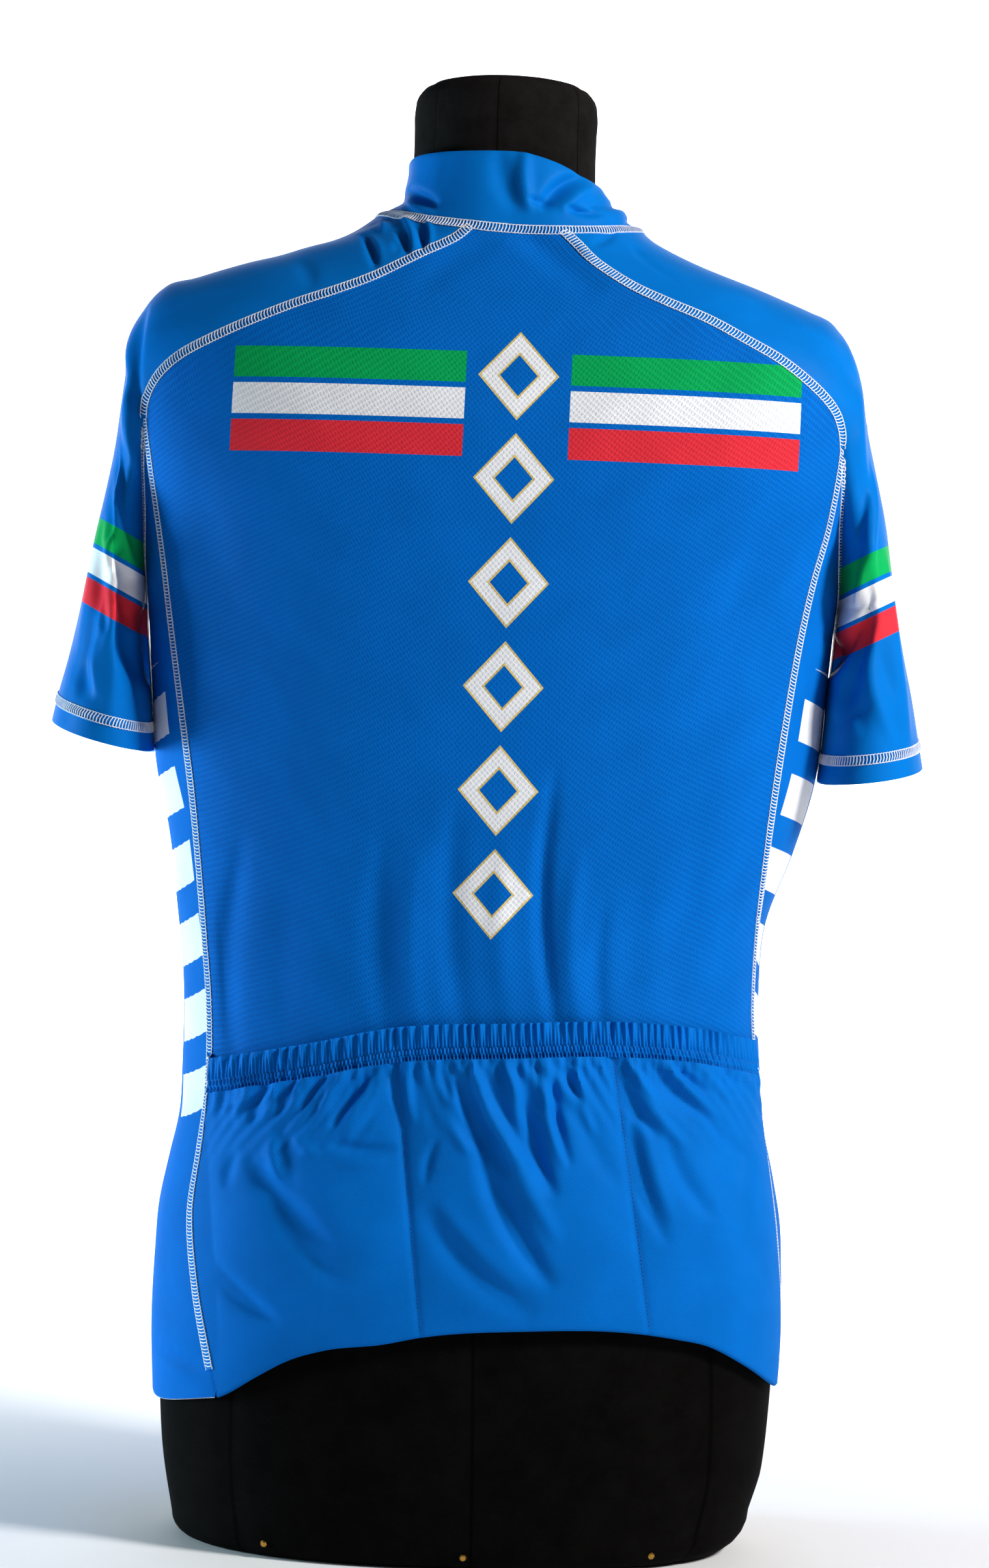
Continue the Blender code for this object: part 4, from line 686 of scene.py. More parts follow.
def knit_material(name, base_hex, wale_mm, course_mm, hole, tint_hex, roughness, depth_mm,
                  prints=None):
    """Polyester knit with staggered openings, which the tint darkens.  The wale is the
    distance between openings across, the course the distance between their rows, and hole is
    the opening's radius as a share of the distance to the next one.  prints adds the
    dyed-in design."""
    material, tree, shader = new_material(
        name, roughness=roughness, specular_ior_level=0.02, sheen_weight=0.08,
        sheen_roughness=0.40, sheen_tint=linear("#1288E0"))
    cloth = cloth_place(tree)
    # A square lattice turned by 45 degrees staggers its rows.
    diagonal = math.sqrt(0.5)
    lattice = add_node(tree, "ShaderNodeMapping", {}, {
        "Vector": cloth,
        "Scale": (diagonal * 2000 / wale_mm, diagonal * 1000 / course_mm, 1.0),
        "Rotation": (0.0, 0.0, math.radians(45))})
    cells = add_node(tree, "ShaderNodeTexVoronoi", {"voronoi_dimensions": "2D"}, {
        "Vector": lattice.outputs["Vector"], "Scale": 1.0, "Randomness": 0.06})
    pits = add_node(tree, "ShaderNodeMapRange", {"interpolation_type": "SMOOTHSTEP"}, {
        "Value": cells.outputs["Distance"], "From Min": hole + 0.02, "From Max": hole + 0.18,
        "To Min": 1.0, "To Max": 0.0})
    # Straight yarns cross each opening, a quarter of a wale apart.
    across, _, _ = split(tree, cloth)
    ribs = math_node(tree, "SINE", math_node(tree, "MULTIPLY", across,
                                             2 * math.pi * 4000 / wale_mm))
    slits = math_node(tree, "MULTIPLY_ADD", ribs, 0.45, 0.55)
    openings = math_node(tree, "MULTIPLY", pits.outputs["Result"], slits)
    uneven = add_node(tree, "ShaderNodeTexNoise", {"noise_dimensions": "2D"}, {
        "Vector": cloth, "Scale": 24.0, "Detail": 3.0})
    tint = add_node(tree, "ShaderNodeMapRange", {}, {
        "Value": uneven.outputs["Fac"], "From Min": 0.3, "From Max": 0.7,
        "To Min": 0.94, "To Max": 1.05})
    ground = linear(base_hex) if prints is None else prints(tree)
    pierced = add_node(tree, "ShaderNodeMix", {"data_type": "RGBA", "blend_type": "MULTIPLY"}, {
        0: openings, 6: ground, 7: linear(tint_hex)})
    varied = add_node(tree, "ShaderNodeHueSaturation", {}, {
        "Color": pierced.outputs[2], "Value": tint.outputs["Result"]})
    # Fine filament fuzz under the openings keeps the yarn from looking like plastic.
    fuzz = add_node(tree, "ShaderNodeTexNoise", {"noise_dimensions": "2D"}, {
        "Vector": cloth, "Scale": 2600.0, "Detail": 2.0})
    yarn = add_node(tree, "ShaderNodeBump", {}, {
        "Height": fuzz.outputs["Fac"], "Strength": 0.25, "Distance": 0.00012})
    bump = add_node(tree, "ShaderNodeBump", {"invert": True}, {
        "Height": openings, "Strength": 0.8, "Distance": depth_mm / 1000,
        "Normal": yarn.outputs["Normal"]})
    tree.links.new(varied.outputs["Color"], shader.inputs["Base Color"])
    tree.links.new(bump.outputs["Normal"], shader.inputs["Normal"])
    return material


def colour_stops(tree, value, low, high, stops):
    """Plain bands of colour along a value, each from its own stop to the next."""
    share = add_node(tree, "ShaderNodeMapRange", {"clamp": True}, {
        "Value": value, "From Min": low, "From Max": high, "To Min": 0.0, "To Max": 1.0})
    bands = add_node(tree, "ShaderNodeValToRGB", {}, {"Fac": share.outputs["Result"]})
    ramp = bands.color_ramp
    ramp.interpolation = "CONSTANT"
    ramp.elements[0].color = linear(stops[0][1])
    ramp.elements[1].position = stops[1][0]
    ramp.elements[1].color = linear(stops[1][1])
    for position, hex_colour in stops[2:]:
        ramp.elements.new(position).color = linear(hex_colour)
    return bands.outputs["Color"]


def over(tree, share, below, above):
    """One colour laid over another by a share."""
    made = add_node(tree, "ShaderNodeMix", {"data_type": "RGBA"}, {0: share, 6: below, 7: above})
    return made.outputs[2]


BLUE = "#0468C4"
# Three hoops, the lowest first, each with a gap above it.
TRICOLOUR = ((0.00, BLUE), (0.03, "#E23340"), (0.31, BLUE), (0.36, "#F1F2F6"), (0.64, BLUE),
             (0.69, "#0BA455"), (0.97, BLUE))
# Ranges are given as their middle and half their length.
HOOPS_LOW, HOOPS_HIGH = 0.6845, 0.7545         # heights
HOOPS_ACROSS = (0.1045, 0.0720)                # from the spine, on either side
CHAIN_HEIGHTS = (0.578, 0.192)
CHAIN_START, LOZENGE_PITCH = 0.386, 0.064
LOZENGE_RADIUS = 0.0205                        # to the middle of its band
LOZENGE_RIM, LOZENGE_BAND = 0.0075, 0.0056     # half widths with and without the gold


def back_prints(tree):
    """A dyed-in chain of open lozenges with gold rims down the spine, and three plain hoops
    across the shoulder blades, broken at the chain."""
    x, _, z = split(tree, object_place(tree))
    # The chain leans a little, because the jersey sits turned on the form.
    centre = math_node(tree, "MULTIPLY_ADD", z, -0.0150, -0.0010)
    off = apart(tree, x, centre)
    hoops = colour_stops(tree, z, HOOPS_LOW, HOOPS_HIGH, TRICOLOUR)
    hooped = over(tree, math_node(tree, "COMPARE", off, *HOOPS_ACROSS), linear(BLUE), hoops)
    half_pitch = LOZENGE_PITCH / 2
    step = math_node(tree, "PINGPONG", math_node(tree, "SUBTRACT", z, CHAIN_START), half_pitch)
    along = math_node(tree, "SUBTRACT", half_pitch, step)
    far = math_node(tree, "ADD", math_node(tree, "MULTIPLY", off, 1.12), along)
    from_band = apart(tree, far, LOZENGE_RADIUS)
    high = math_node(tree, "COMPARE", z, *CHAIN_HEIGHTS)
    colour = hooped
    for half_width, hex_colour in ((LOZENGE_RIM, "#DFC77C"), (LOZENGE_BAND, "#F3F4F7")):
        band = math_node(tree, "LESS_THAN", from_band, half_width)
        here = math_node(tree, "MULTIPLY", band, high)
        colour = over(tree, here, colour, linear(hex_colour))
    return colour


# Dull cloth with small slits, which catch the light in slanting rows.  The openings are 3.4 mm
# apart across, in rows 1.9 mm apart, about as the real mesh has them.
back_mesh = knit_material("polyester_mesh_knit_printed", BLUE, 3.4, 1.9, 0.30, "#C6CDDE", 0.66,
                          0.16, back_prints)
back_grid = back_points(188, 151)
back_panel = cloth_piece("back_panel_cloth", back_grid, back_mesh)
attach(back_panel, "garment_on_form")
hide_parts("back_panel")


# Side panels.  A tall piece of fine mesh under each arm, with almost level white bars dyed in.
# The panel's hem hangs a little lower on the wearer's left.
UNDERARM_DROP = 0.098         # from the raglan's end to the lowest point of the armhole
HEM_DIP = {LEFT: 0.014, RIGHT: 0.003}
SIDE_CREASES = {         # on the back half: x and z of either end
    LEFT: (
        (0.2000, 0.1240, 0.1560, 0.1160, 0.0026, 0.0024, 0.0012),
        (0.1980, 0.1180, 0.1660, 0.1110, 0.0040, -0.0014, 0.0),
    ),
    RIGHT: (
        (-0.2010, 0.1700, -0.1930, 0.1350, 0.0050, 0.0018, 0.0),
    ),
}


def armhole(side, share):
    """The edge under the arm, from the back seam down and up to the front seam."""
    first, last = seam(side, BACK, RAGLAN_END), seam(side, FRONT, RAGLAN_END)
    share = np.asarray(share)
    y = first[1] + (last[1] - first[1]) * share
    z = first[2] + (last[2] - first[2]) * share
    z = z - UNDERARM_DROP * np.sin(math.pi * np.clip(share, 0.0, 1.0)) ** 0.8
    points = np.stack([x_on(jersey, y, z, side), y, z], axis=-1)
    for corner, away in ((first, share), (last, 1 - share)):
        on_body = np.array([x_on(jersey, corner[1], corner[2], side), corner[1], corner[2]])
        points = points + (corner - on_body) * np.clip(1 - away * 8, 0.0, 1.0)[..., None]
    return points


def side_points(side, row_count, column_count):
    """A side panel's outer face, from the armhole down and from back to front."""
    rows = np.linspace(RAGLAN_END, len(BACK_SEAM) - 1, row_count)
    back, front = seam(side, BACK, rows), seam(side, FRONT, rows)
    share = np.linspace(0.0, 1.0, column_count)
    top = armhole(side, share)
    hem_z = back[-1, 2] + (front[-1, 2] - back[-1, 2]) * share
    hem_z = hem_z - HEM_DIP[side] * np.sin(math.pi * share)
    drop = (back[:, 2] - back[-1, 2]) / (back[0, 2] - back[-1, 2])
    drop_front = (front[:, 2] - front[-1, 2]) / (front[0, 2] - front[-1, 2])
    drops = drop[:, None] + (drop_front - drop)[:, None] * share
    z = hem_z + (top[:, 2] - hem_z) * drops
    y = back[:, None, 1] + (front[:, None, 1] - back[:, None, 1]) * share
    points = np.stack([x_on(jersey, y, z, side), y, z], axis=-1)
    points[0], points[:, 0], points[:, -1] = top, back, front
    depth = creases(SIDE_CREASES[side], points[..., 0], z) * (y > 0)
    depth = depth * np.clip(share / 0.06, 0.0, 1.0)
    points = points - outward(jersey, points)[0] * depth[..., None]
    return keep_clear(form_shape, points, CLOTH + FORM_GAP)


BARS_ACROSS = (-0.052, 0.028)         # from the middle of the panel, towards the back
BARS_ABOVE_HEM = (0.318, 0.152)
BAR_PITCH, BAR_HALF_WIDTH, BAR_SLOPE = 0.048, 0.0135, 0.05


def side_prints(tree):
    """Short white bars, one above another, nearer to the back seam."""
    u, v, _ = split(tree, cloth_place(tree))
    level = math_node(tree, "MULTIPLY_ADD", u, BAR_SLOPE, v)
    off = math_node(tree, "PINGPONG", level, BAR_PITCH / 2)
    bar = math_node(tree, "LESS_THAN", off, BAR_HALF_WIDTH)
    across = math_node(tree, "COMPARE", u, *BARS_ACROSS)
    high = math_node(tree, "COMPARE", v, *BARS_ABOVE_HEM)
    here = math_node(tree, "MULTIPLY", math_node(tree, "MULTIPLY", bar, across), high)
    return over(tree, here, linear(BLUE), linear("#E9ECF2"))


# The same yarn as the back in a finer, closer mesh.
side_mesh = knit_material("fine_mesh_knit_printed", BLUE, 1.9, 1.1, 0.08, "#BCC4D8", 0.66, 0.14,
                          side_prints)
side_grids = {}
for side, word in SIDES:
    side_grids[side] = side_points(side, 120, 49)
    piece = cloth_piece("side_panel_cloth_" + word, side_grids[side], side_mesh, turn=side,
                        from_hem=True)
    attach(piece, "garment_on_form")
    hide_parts("side_panel_" + word)


# Front panels.  Two pieces of smooth stretch knit that meet at the zip.  They are sewn to the
# sleeves along the raglans and to the side panels, and end in a raw overlocked hem.
ZIP_LINE = (         # z, x
    (0.08, 0.0440), (0.14, 0.0400), (0.22, 0.0300), (0.33, 0.0170),
    (0.45, 0.0070), (0.60, 0.0020), (0.72, 0.0000), (0.90, 0.0000),
)
ZIP_GAP = 0.0070
HEM_AT_ZIP = 0.100
STRETCH_BLUE = "#046DC4"
zip_x = curve(ZIP_LINE)


def front_points(side, row_count, column_count):
    """A front panel's outer face, from the neck down and from the zip to the side."""
    rows = np.linspace(0.0, len(BACK_SEAM) - 1, row_count)
    edge = seam(side, FRONT, rows)
    share = np.linspace(0.0, 1.0, column_count) ** 0.9
    down = (edge[0, 2] - edge[:, 2]) / (edge[0, 2] - edge[-1, 2])
    neck_z = neckline(0.0)[2]
    zip_z = neck_z + (HEM_AT_ZIP - neck_z) * down
    z = zip_z[:, None] + (edge[:, None, 2] - zip_z[:, None]) * share ** 1.5
    inner_x = zip_x(z) + side * ZIP_GAP / 2
    x = inner_x + (edge[:, None, 0] - inner_x) * share
    points = on_section(jersey, x, z, FRONT)
    ends = (0.0, neck_share(LEFT, FRONT)) if side > 0 else (1.0, neck_share(RIGHT, FRONT))
    neck = neckline(ends[0] + (ends[1] - ends[0]) * share)
    near_neck = np.clip(1 - rows, 0.0, 1.0)[:, None, None] ** 2
    points = points + (neck - points[0]) * near_neck
    points[:, -1] = edge
    return keep_clear(form_shape, points, CLOTH + FORM_GAP)


# Smoother and a little shinier than the mesh.  Real wales lie 0.5 mm apart; these are coarser,
# so that they show at all.
front_knit = knit_material("smooth_stretch_knit", STRETCH_BLUE, 1.2, 0.9, 0.06, "#D5DAE6", 0.46,
                           0.05)
front_grids = {}
for side, word in SIDES:
    front_grids[side] = front_points(side, 130, 60)
    piece = cloth_piece("front_panel_cloth_" + word, front_grids[side], front_knit,
                        turn=-side, middle=0.0)
    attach(piece, "garment_on_form")
    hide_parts("front_panel_" + word)


# Sleeves.  Raglan sleeves in smooth, slightly glossy stretch knit: each is one piece, sewn to
# the back and front along the raglans and closed under the arm.  Plain hoops are dyed in.
SLEEVE_COLUMNS = ("x_left", "z_left", "x_right", "z_right", "out", "away", "up", "over")
SLEEVE_ROWS = (
    (0.0820, 0.8515, 0.0885, 0.8470, 0.020, -0.004, 0.004, 0.036),
    (0.0975, 0.8400, 0.0985, 0.8385, 0.022, -0.008, 0.008, 0.042),
    (0.1125, 0.8325, 0.1125, 0.8312, 0.020, -0.010, 0.012, 0.044),
    (0.1295, 0.8275, 0.1295, 0.8237, 0.017, -0.012, 0.017, 0.046),
    (0.1470, 0.8216, 0.1470, 0.8172, 0.014, -0.012, 0.019, 0.047),
    (0.1640, 0.8172, 0.1640, 0.8111, 0.011, -0.011, 0.021, 0.048),
    (0.1815, 0.8119, 0.1815, 0.8045, 0.008, -0.010, 0.023, 0.048),
    (0.1985, 0.8063, 0.1985, 0.7979, 0.008, -0.008, 0.024, 0.047),
    (0.2165, 0.8010, 0.2130, 0.7915, 0.009, -0.005, 0.025, 0.046),
    (0.2310, 0.7840, 0.2215, 0.7790, 0.011, -0.002, 0.023, 0.046),
    (0.2380, 0.7570, 0.2318, 0.7560, 0.013, 0.001, 0.016, 0.048),
    (0.2422, 0.7270, 0.2371, 0.7270, 0.013, 0.005, 0.008, 0.052),
    (0.2464, 0.6950, 0.2451, 0.6950, 0.006, 0.026, 0.012, 0.064),
    (0.2518, 0.6645, 0.2521, 0.6645, 0.003, 0.050, 0.010, 0.076),
    (0.2581, 0.6330, 0.2571, 0.6330, 0.002, 0.072, 0.006, 0.086),
    (0.2642, 0.6020, 0.2622, 0.6020, 0.000, 0.088, 0.000, 0.092),
    (0.2682, 0.5795, 0.2673, 0.5795, 0.000, 0.093, -0.002, 0.093),
    (0.2722, 0.5575, 0.2732, 0.5575, 0.000, 0.093, -0.004, 0.093),
    (0.2775, 0.5365, 0.2780, 0.5365, 0.000, 0.093, -0.007, 0.093),
    (0.2816, 0.5170, 0.2823, 0.5170, 0.000, 0.093, -0.010, 0.093),
)
ARMHOLE_GAP = 0.0009          # between the sleeve and the side panel's edge
UNDERARM_AT = 15.0            # the row from which the sleeve hangs free
INNER_ARM = (        # x and z of the sleeve's inner line, row by row below the underarm
    (0.2226, 0.5820), (0.2200, 0.5560), (0.2172, 0.5290), (0.2150, 0.5010))
SLACK_ROWS, SLACK = (11.0, 14.0, 16.0, 19.0), (0.0, 0.003, 0.010, 0.014)
CUFF_HEIGHT = {LEFT: 0.003, RIGHT: -0.010}
# By the share of the way round, from the underarm by the back and the ridge to the front,
# and of the way down, from collar to cuff.
SLEEVE_CREASES = {
    LEFT: (
        (0.270, 0.62, 0.220, 0.98, 0.028, -0.0060, 0.0),
        (0.180, 0.72, 0.120, 0.97, 0.030, 0.0060, 0.0),
        (0.360, 0.70, 0.330, 0.97, 0.034, 0.0040, 0.0),
        (0.720, 0.60, 0.800, 0.95, 0.036, 0.0050, 0.0),
        (0.620, 0.72, 0.640, 0.97, 0.034, -0.0040, 0.0),
    ),
    RIGHT: (
        (0.330, 0.62, 0.150, 0.78, 0.026, -0.0070, 0.0),
        (0.280, 0.76, 0.120, 0.92, 0.036, 0.0080, 0.0),
        (0.360, 0.72, 0.380, 0.97, 0.032, -0.0040, 0.0),
        (0.210, 0.08, 0.120, 0.20, 0.018, 0.0012, 0.0006),
        (0.720, 0.62, 0.790, 0.95, 0.036, 0.0050, 0.0),
        (0.620, 0.70, 0.660, 0.97, 0.034, -0.0040, 0.0),
    ),
}
# On the back of each sleeve: x and z of either end, a half width, a depth and a roll.
SLEEVE_FOLDS = {
    LEFT: (
        (0.2330, 0.795, 0.2290, 0.725, 0.0040, -0.0034, 0.0012),
        (0.2295, 0.745, 0.2262, 0.672, 0.0040, -0.0040, 0.0014),
        (0.2262, 0.785, 0.2232, 0.700, 0.0034, 0.0036, 0.0),
        (0.2402, 0.678, 0.2250, 0.610, 0.0032, -0.0046, 0.0020),
        (0.2360, 0.690, 0.2330, 0.600, 0.0050, 0.0040, 0.0016),
        (0.2440, 0.638, 0.2220, 0.588, 0.0042, -0.0046, 0.0018),
        (0.2480, 0.632, 0.2415, 0.570, 0.0036, 0.0034, 0.0012),
        (0.2360, 0.626, 0.2215, 0.575, 0.0054, 0.0070, 0.0020),
        (0.2290, 0.596, 0.2180, 0.540, 0.0076, 0.0080, 0.0),
        (0.2475, 0.570, 0.2440, 0.530, 0.0036, -0.0022, 0.0008),
        (0.2385, 0.578, 0.2398, 0.520, 0.0044, -0.0022, 0.0012),
        (0.2550, 0.556, 0.2505, 0.527, 0.0050, 0.0022, 0.0),
        (0.2430, 0.560, 0.2420, 0.522, 0.0036, 0.0014, 0.0),
        (0.2600, 0.640, 0.2630, 0.540, 0.0060, 0.0012, 0.0008),
        (0.0602, 0.8130, 0.0735, 0.8480, 0.0032, 0.0046, -0.0016),
        (0.0560, 0.8150, 0.0672, 0.8480, 0.0026, -0.0026, 0.0),
        (0.0508, 0.8160, 0.0575, 0.8480, 0.0026, 0.0044, -0.0014),
        (0.0462, 0.8200, 0.0515, 0.8450, 0.0024, -0.0020, 0.0),
        (0.0795, 0.8030, 0.0910, 0.8330, 0.0028, 0.0036, -0.0014),
        (0.0760, 0.8090, 0.0840, 0.8300, 0.0026, -0.0014, 0.0),
        (0.0766, 0.8300, 0.0800, 0.8450, 0.0024, -0.0014, 0.0),
        (0.0664, 0.8150, 0.0690, 0.8260, 0.0018, 0.0016, 0.0),
        (0.1180, 0.7900, 0.1300, 0.8140, 0.0060, 0.0012, 0.0),
    ),
    RIGHT: (
        (-0.2178, 0.786, -0.2290, 0.748, 0.0044, -0.0016, -0.0010),
        (-0.2290, 0.752, -0.2372, 0.668, 0.0040, -0.0024, -0.0012),
        (-0.2370, 0.680, -0.2442, 0.604, 0.0036, -0.0030, -0.0014),
        (-0.2440, 0.609, -0.2190, 0.581, 0.0042, -0.0052, -0.0022),
        (-0.2420, 0.606, -0.2170, 0.562, 0.0060, 0.0084, 0.0024),
        (-0.2423, 0.602, -0.2200, 0.552, 0.0036, -0.0026, 0.0010),
        (-0.2383, 0.582, -0.2197, 0.534, 0.0046, -0.0018, 0.0010),
        (-0.2370, 0.582, -0.2590, 0.519, 0.0050, -0.0020, 0.0010),
        (-0.2300, 0.562, -0.2390, 0.524, 0.0054, 0.0020, 0.0),
        (-0.2440, 0.600, -0.2560, 0.550, 0.0050, 0.0016, 0.0),
        (-0.2219, 0.642, -0.2240, 0.600, 0.0050, 0.0014, 0.0),
        (-0.2205, 0.652, -0.2395, 0.631, 0.0034, 0.0012, 0.0006),
        (-0.2442, 0.546, -0.2172, 0.527, 0.0040, 0.0012, 0.0006),
        (-0.0546, 0.8250, -0.0712, 0.838, 0.0040, 0.0014, 0.0006),
    ),
}


def sleeve_points(side, row_count, half_columns):
    """A sleeve's outer face, from the collar down and round from the back to the front.  Each
    half is a row of curves that leave the seam along the body and arrive over the ridge."""
    # Rows lie closer together near the collar, where the folds are small.
    rows = (len(SLEEVE_ROWS) - 1) * np.linspace(0.0, 1.0, row_count) ** 1.35
    number = np.arange(len(SLEEVE_ROWS))
    value = {name: smooth(number, column(SLEEVE_ROWS, SLEEVE_COLUMNS, name))(rows)
             for name in SLEEVE_COLUMNS}
    own = "left" if side > 0 else "right"
    ridge = np.stack([side * value["x_" + own], np.full(row_count, -0.004), value["z_" + own]],
                     axis=-1)
    near_neck = np.clip(1 - rows, 0.0, 1.0)[:, None] ** 2
    ridge = ridge + (neckline(0.25 if side > 0 else 0.75) - ridge[0]) * near_neck
    ridge[:, 2] += CUFF_HEIGHT[side] * np.clip((0.60 - ridge[:, 2]) / 0.09, 0.0, 1.0)
    inner_rows = np.arange(len(INNER_ARM) + 1) + UNDERARM_AT
    under = armhole(side, 0.5)
    inner_x = smooth(inner_rows, [abs(under[0]) + ARMHOLE_GAP] + [row[0] for row in INNER_ARM])
    inner_z = smooth(inner_rows, [under[2]] + [row[1] for row in INNER_ARM])
    lift = 0.4 * CUFF_HEIGHT[side] * np.clip((rows - UNDERARM_AT) / 4, 0.0, 1.0)
    inner_y = under[1] * np.clip(1 - (rows - UNDERARM_AT) / 1.0, 0.0, 1.0)
    inner = np.stack([side * inner_x(rows), inner_y, inner_z(rows) + lift], axis=-1)
    halves = []
    for facing in (BACK, FRONT):
        raglan = seam(side, facing, np.clip(rows, 0.0, RAGLAN_END))
        share = np.clip((rows - RAGLAN_END) / 8, 0.0, 0.5)
        hole = armhole(side, share if facing > 0 else 1 - share)
        off_seam = np.clip(share * 8, 0.0, 1.0)[:, None]
        hole = hole + np.array([side * ARMHOLE_GAP, 0.0, 0.0]) * off_seam
        start = np.where((rows <= RAGLAN_END)[:, None], raglan, hole)
        start = np.where((rows > UNDERARM_AT)[:, None], inner, start)
        # Behind the arm the slack cloth sags in towards the body.
        slack = np.interp(rows, SLACK_ROWS, SLACK) * (facing > 0)
        leave = np.stack([side * (value["out"] - slack), facing * value["away"], value["up"]],
                         axis=-1)
        arrive = np.stack([np.zeros(row_count), facing * value["over"],
                           np.minimum(value["up"], 0.0)], axis=-1)
        t = np.linspace(0.0, 1.0, half_columns + 1)[None, :, None]
        knots = [start, start + leave, ridge + arrive, ridge]
        weights = [(1 - t) ** 3, 3 * t * (1 - t) ** 2, 3 * t * t * (1 - t), t ** 3]
        half = sum(weight * knot[:, None] for weight, knot in zip(weights, knots))
        shares = np.linspace(neck_share(side, facing), 0.25 if side > 0 else 0.75, half_columns + 1)
        half = half + (neckline(shares) - half[0]) * near_neck[:, None]
        halves.append(half)
    points = np.concatenate([halves[0], halves[1][:, -2::-1]], axis=1)
    round_share = np.linspace(0.0, 1.0, points.shape[1])[None, :]
    down_share = rows[:, None] / (len(SLEEVE_ROWS) - 1)
    depth = creases(SLEEVE_CREASES[side], round_share, down_share)
    sewn = np.clip(np.minimum(round_share, 1 - round_share) / 0.04, 0.0, 1.0)
    above_underarm = down_share < UNDERARM_AT / (len(SLEEVE_ROWS) - 1)
    fade = np.where(above_underarm, sewn, 1.0) * np.clip(down_share / 0.03, 0.0, 1.0)
    free = keep_clear(jersey, points[rows > RAGLAN_END], 0.0006)
    points[rows > RAGLAN_END] = free
    points = keep_clear(form_shape, points, CLOTH + FORM_GAP)
    points = move_out(points, -side * depth * fade)
    seen = np.clip((0.5 - round_share) / 0.06, 0.0, 1.0)
    folds = creases(SLEEVE_FOLDS[side], points[..., 0], points[..., 2])
    points = move_out(points, -side * folds * seen * fade)
    return keep_clear(form_shape, points, CLOTH + 0.0004)


def sleeve_prints(tree):
    """Three plain hoops round the upper arm, square to its length."""
    x, _, z = split(tree, object_place(tree))
    off = math_node(tree, "MULTIPLY", math_node(tree, "ABSOLUTE", x), -0.46)
    up_arm = math_node(tree, "MULTIPLY_ADD", z, 0.888, off)
    stops = [(at, STRETCH_BLUE if hex_colour == BLUE else hex_colour)
             for at, hex_colour in TRICOLOUR]
    return colour_stops(tree, up_arm, 0.4050, 0.4600, stops)


# The fronts' yarn, pressed a little glossier.
sleeve_knit = knit_material("glossy_stretch_knit_printed", STRETCH_BLUE, 1.2, 0.9, 0.06,
                            "#D5DAE6", 0.42, 0.05, sleeve_prints)
sleeve_grids = {}
for side, word in SIDES:
    sleeve_grids[side] = sleeve_points(side, 240, 66)
    piece = cloth_piece("sleeve_cloth_" + word, sleeve_grids[side], sleeve_knit, turn=side)
    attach(piece, "garment_on_form")
    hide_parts("sleeve_" + word)


# Collar.  A stand collar of doubled stretch knit, folded along its top edge.  It stands on
# the wearer's left and has slumped into soft dents on the right.
COLLAR_CLOTH = 0.0014
COLLAR_TOP = (
    (0.0035, -0.0790, 0.8400), (0.0270, -0.0745, 0.8460), (0.0480, -0.0590, 0.8610),
    (0.0605, -0.0330, 0.8760), (0.0637, -0.0020, 0.8840), (0.0595, 0.0290, 0.8850),
    (0.0450, 0.0500, 0.8850), (0.0212, 0.0615, 0.8850), (-0.0078, 0.0635, 0.8848),
    (-0.0310, 0.0590, 0.8800), (-0.0510, 0.0460, 0.8725), (-0.0610, 0.0250, 0.8700),
    (-0.0622, -0.0020, 0.8685), (-0.0598, -0.0320, 0.8640), (-0.0480, -0.0580, 0.8560),
    (-0.0270, -0.0745, 0.8450), (-0.0035, -0.0790, 0.8400),
)
COLLAR_FOLDS = (     # x and z of either end, a half width, a depth and a roll
    (-0.0125, 0.8900, -0.0165, 0.8440, 0.0048, -0.0036, 0.0014),
    (0.0060, 0.8880, -0.0079, 0.8440, 0.0070, 0.0026, 0.0),
    (-0.0490, 0.8740, -0.0215, 0.8480, 0.0054, 0.0074, 0.0024),
    (-0.0580, 0.8690, -0.0340, 0.8470, 0.0046, -0.0032, 0.0),
    (-0.0130, 0.8552, -0.0320, 0.8518, 0.0024, 0.0030, 0.0010),
    (-0.0370, 0.8510, -0.0620, 0.8480, 0.0024, 0.0042, 0.0012),
    (-0.0525, 0.8560, -0.0590, 0.8490, 0.0020, 0.0014, 0.0),
    (0.0640, 0.8660, 0.0420, 0.8490, 0.0038, 0.0052, 0.0016),
    (0.0640, 0.8600, 0.0440, 0.8440, 0.0034, -0.0032, 0.0),
    (0.0300, 0.8860, 0.0360, 0.8560, 0.0070, 0.0012, 0.0),
)
COLLAR_LEVELS = (1.0, 0.82, 0.62, 0.46, 0.34, 0.20, 0.07, 0.0)
STRAIGHT = ((0, 0),) * len(COLLAR_LEVELS)
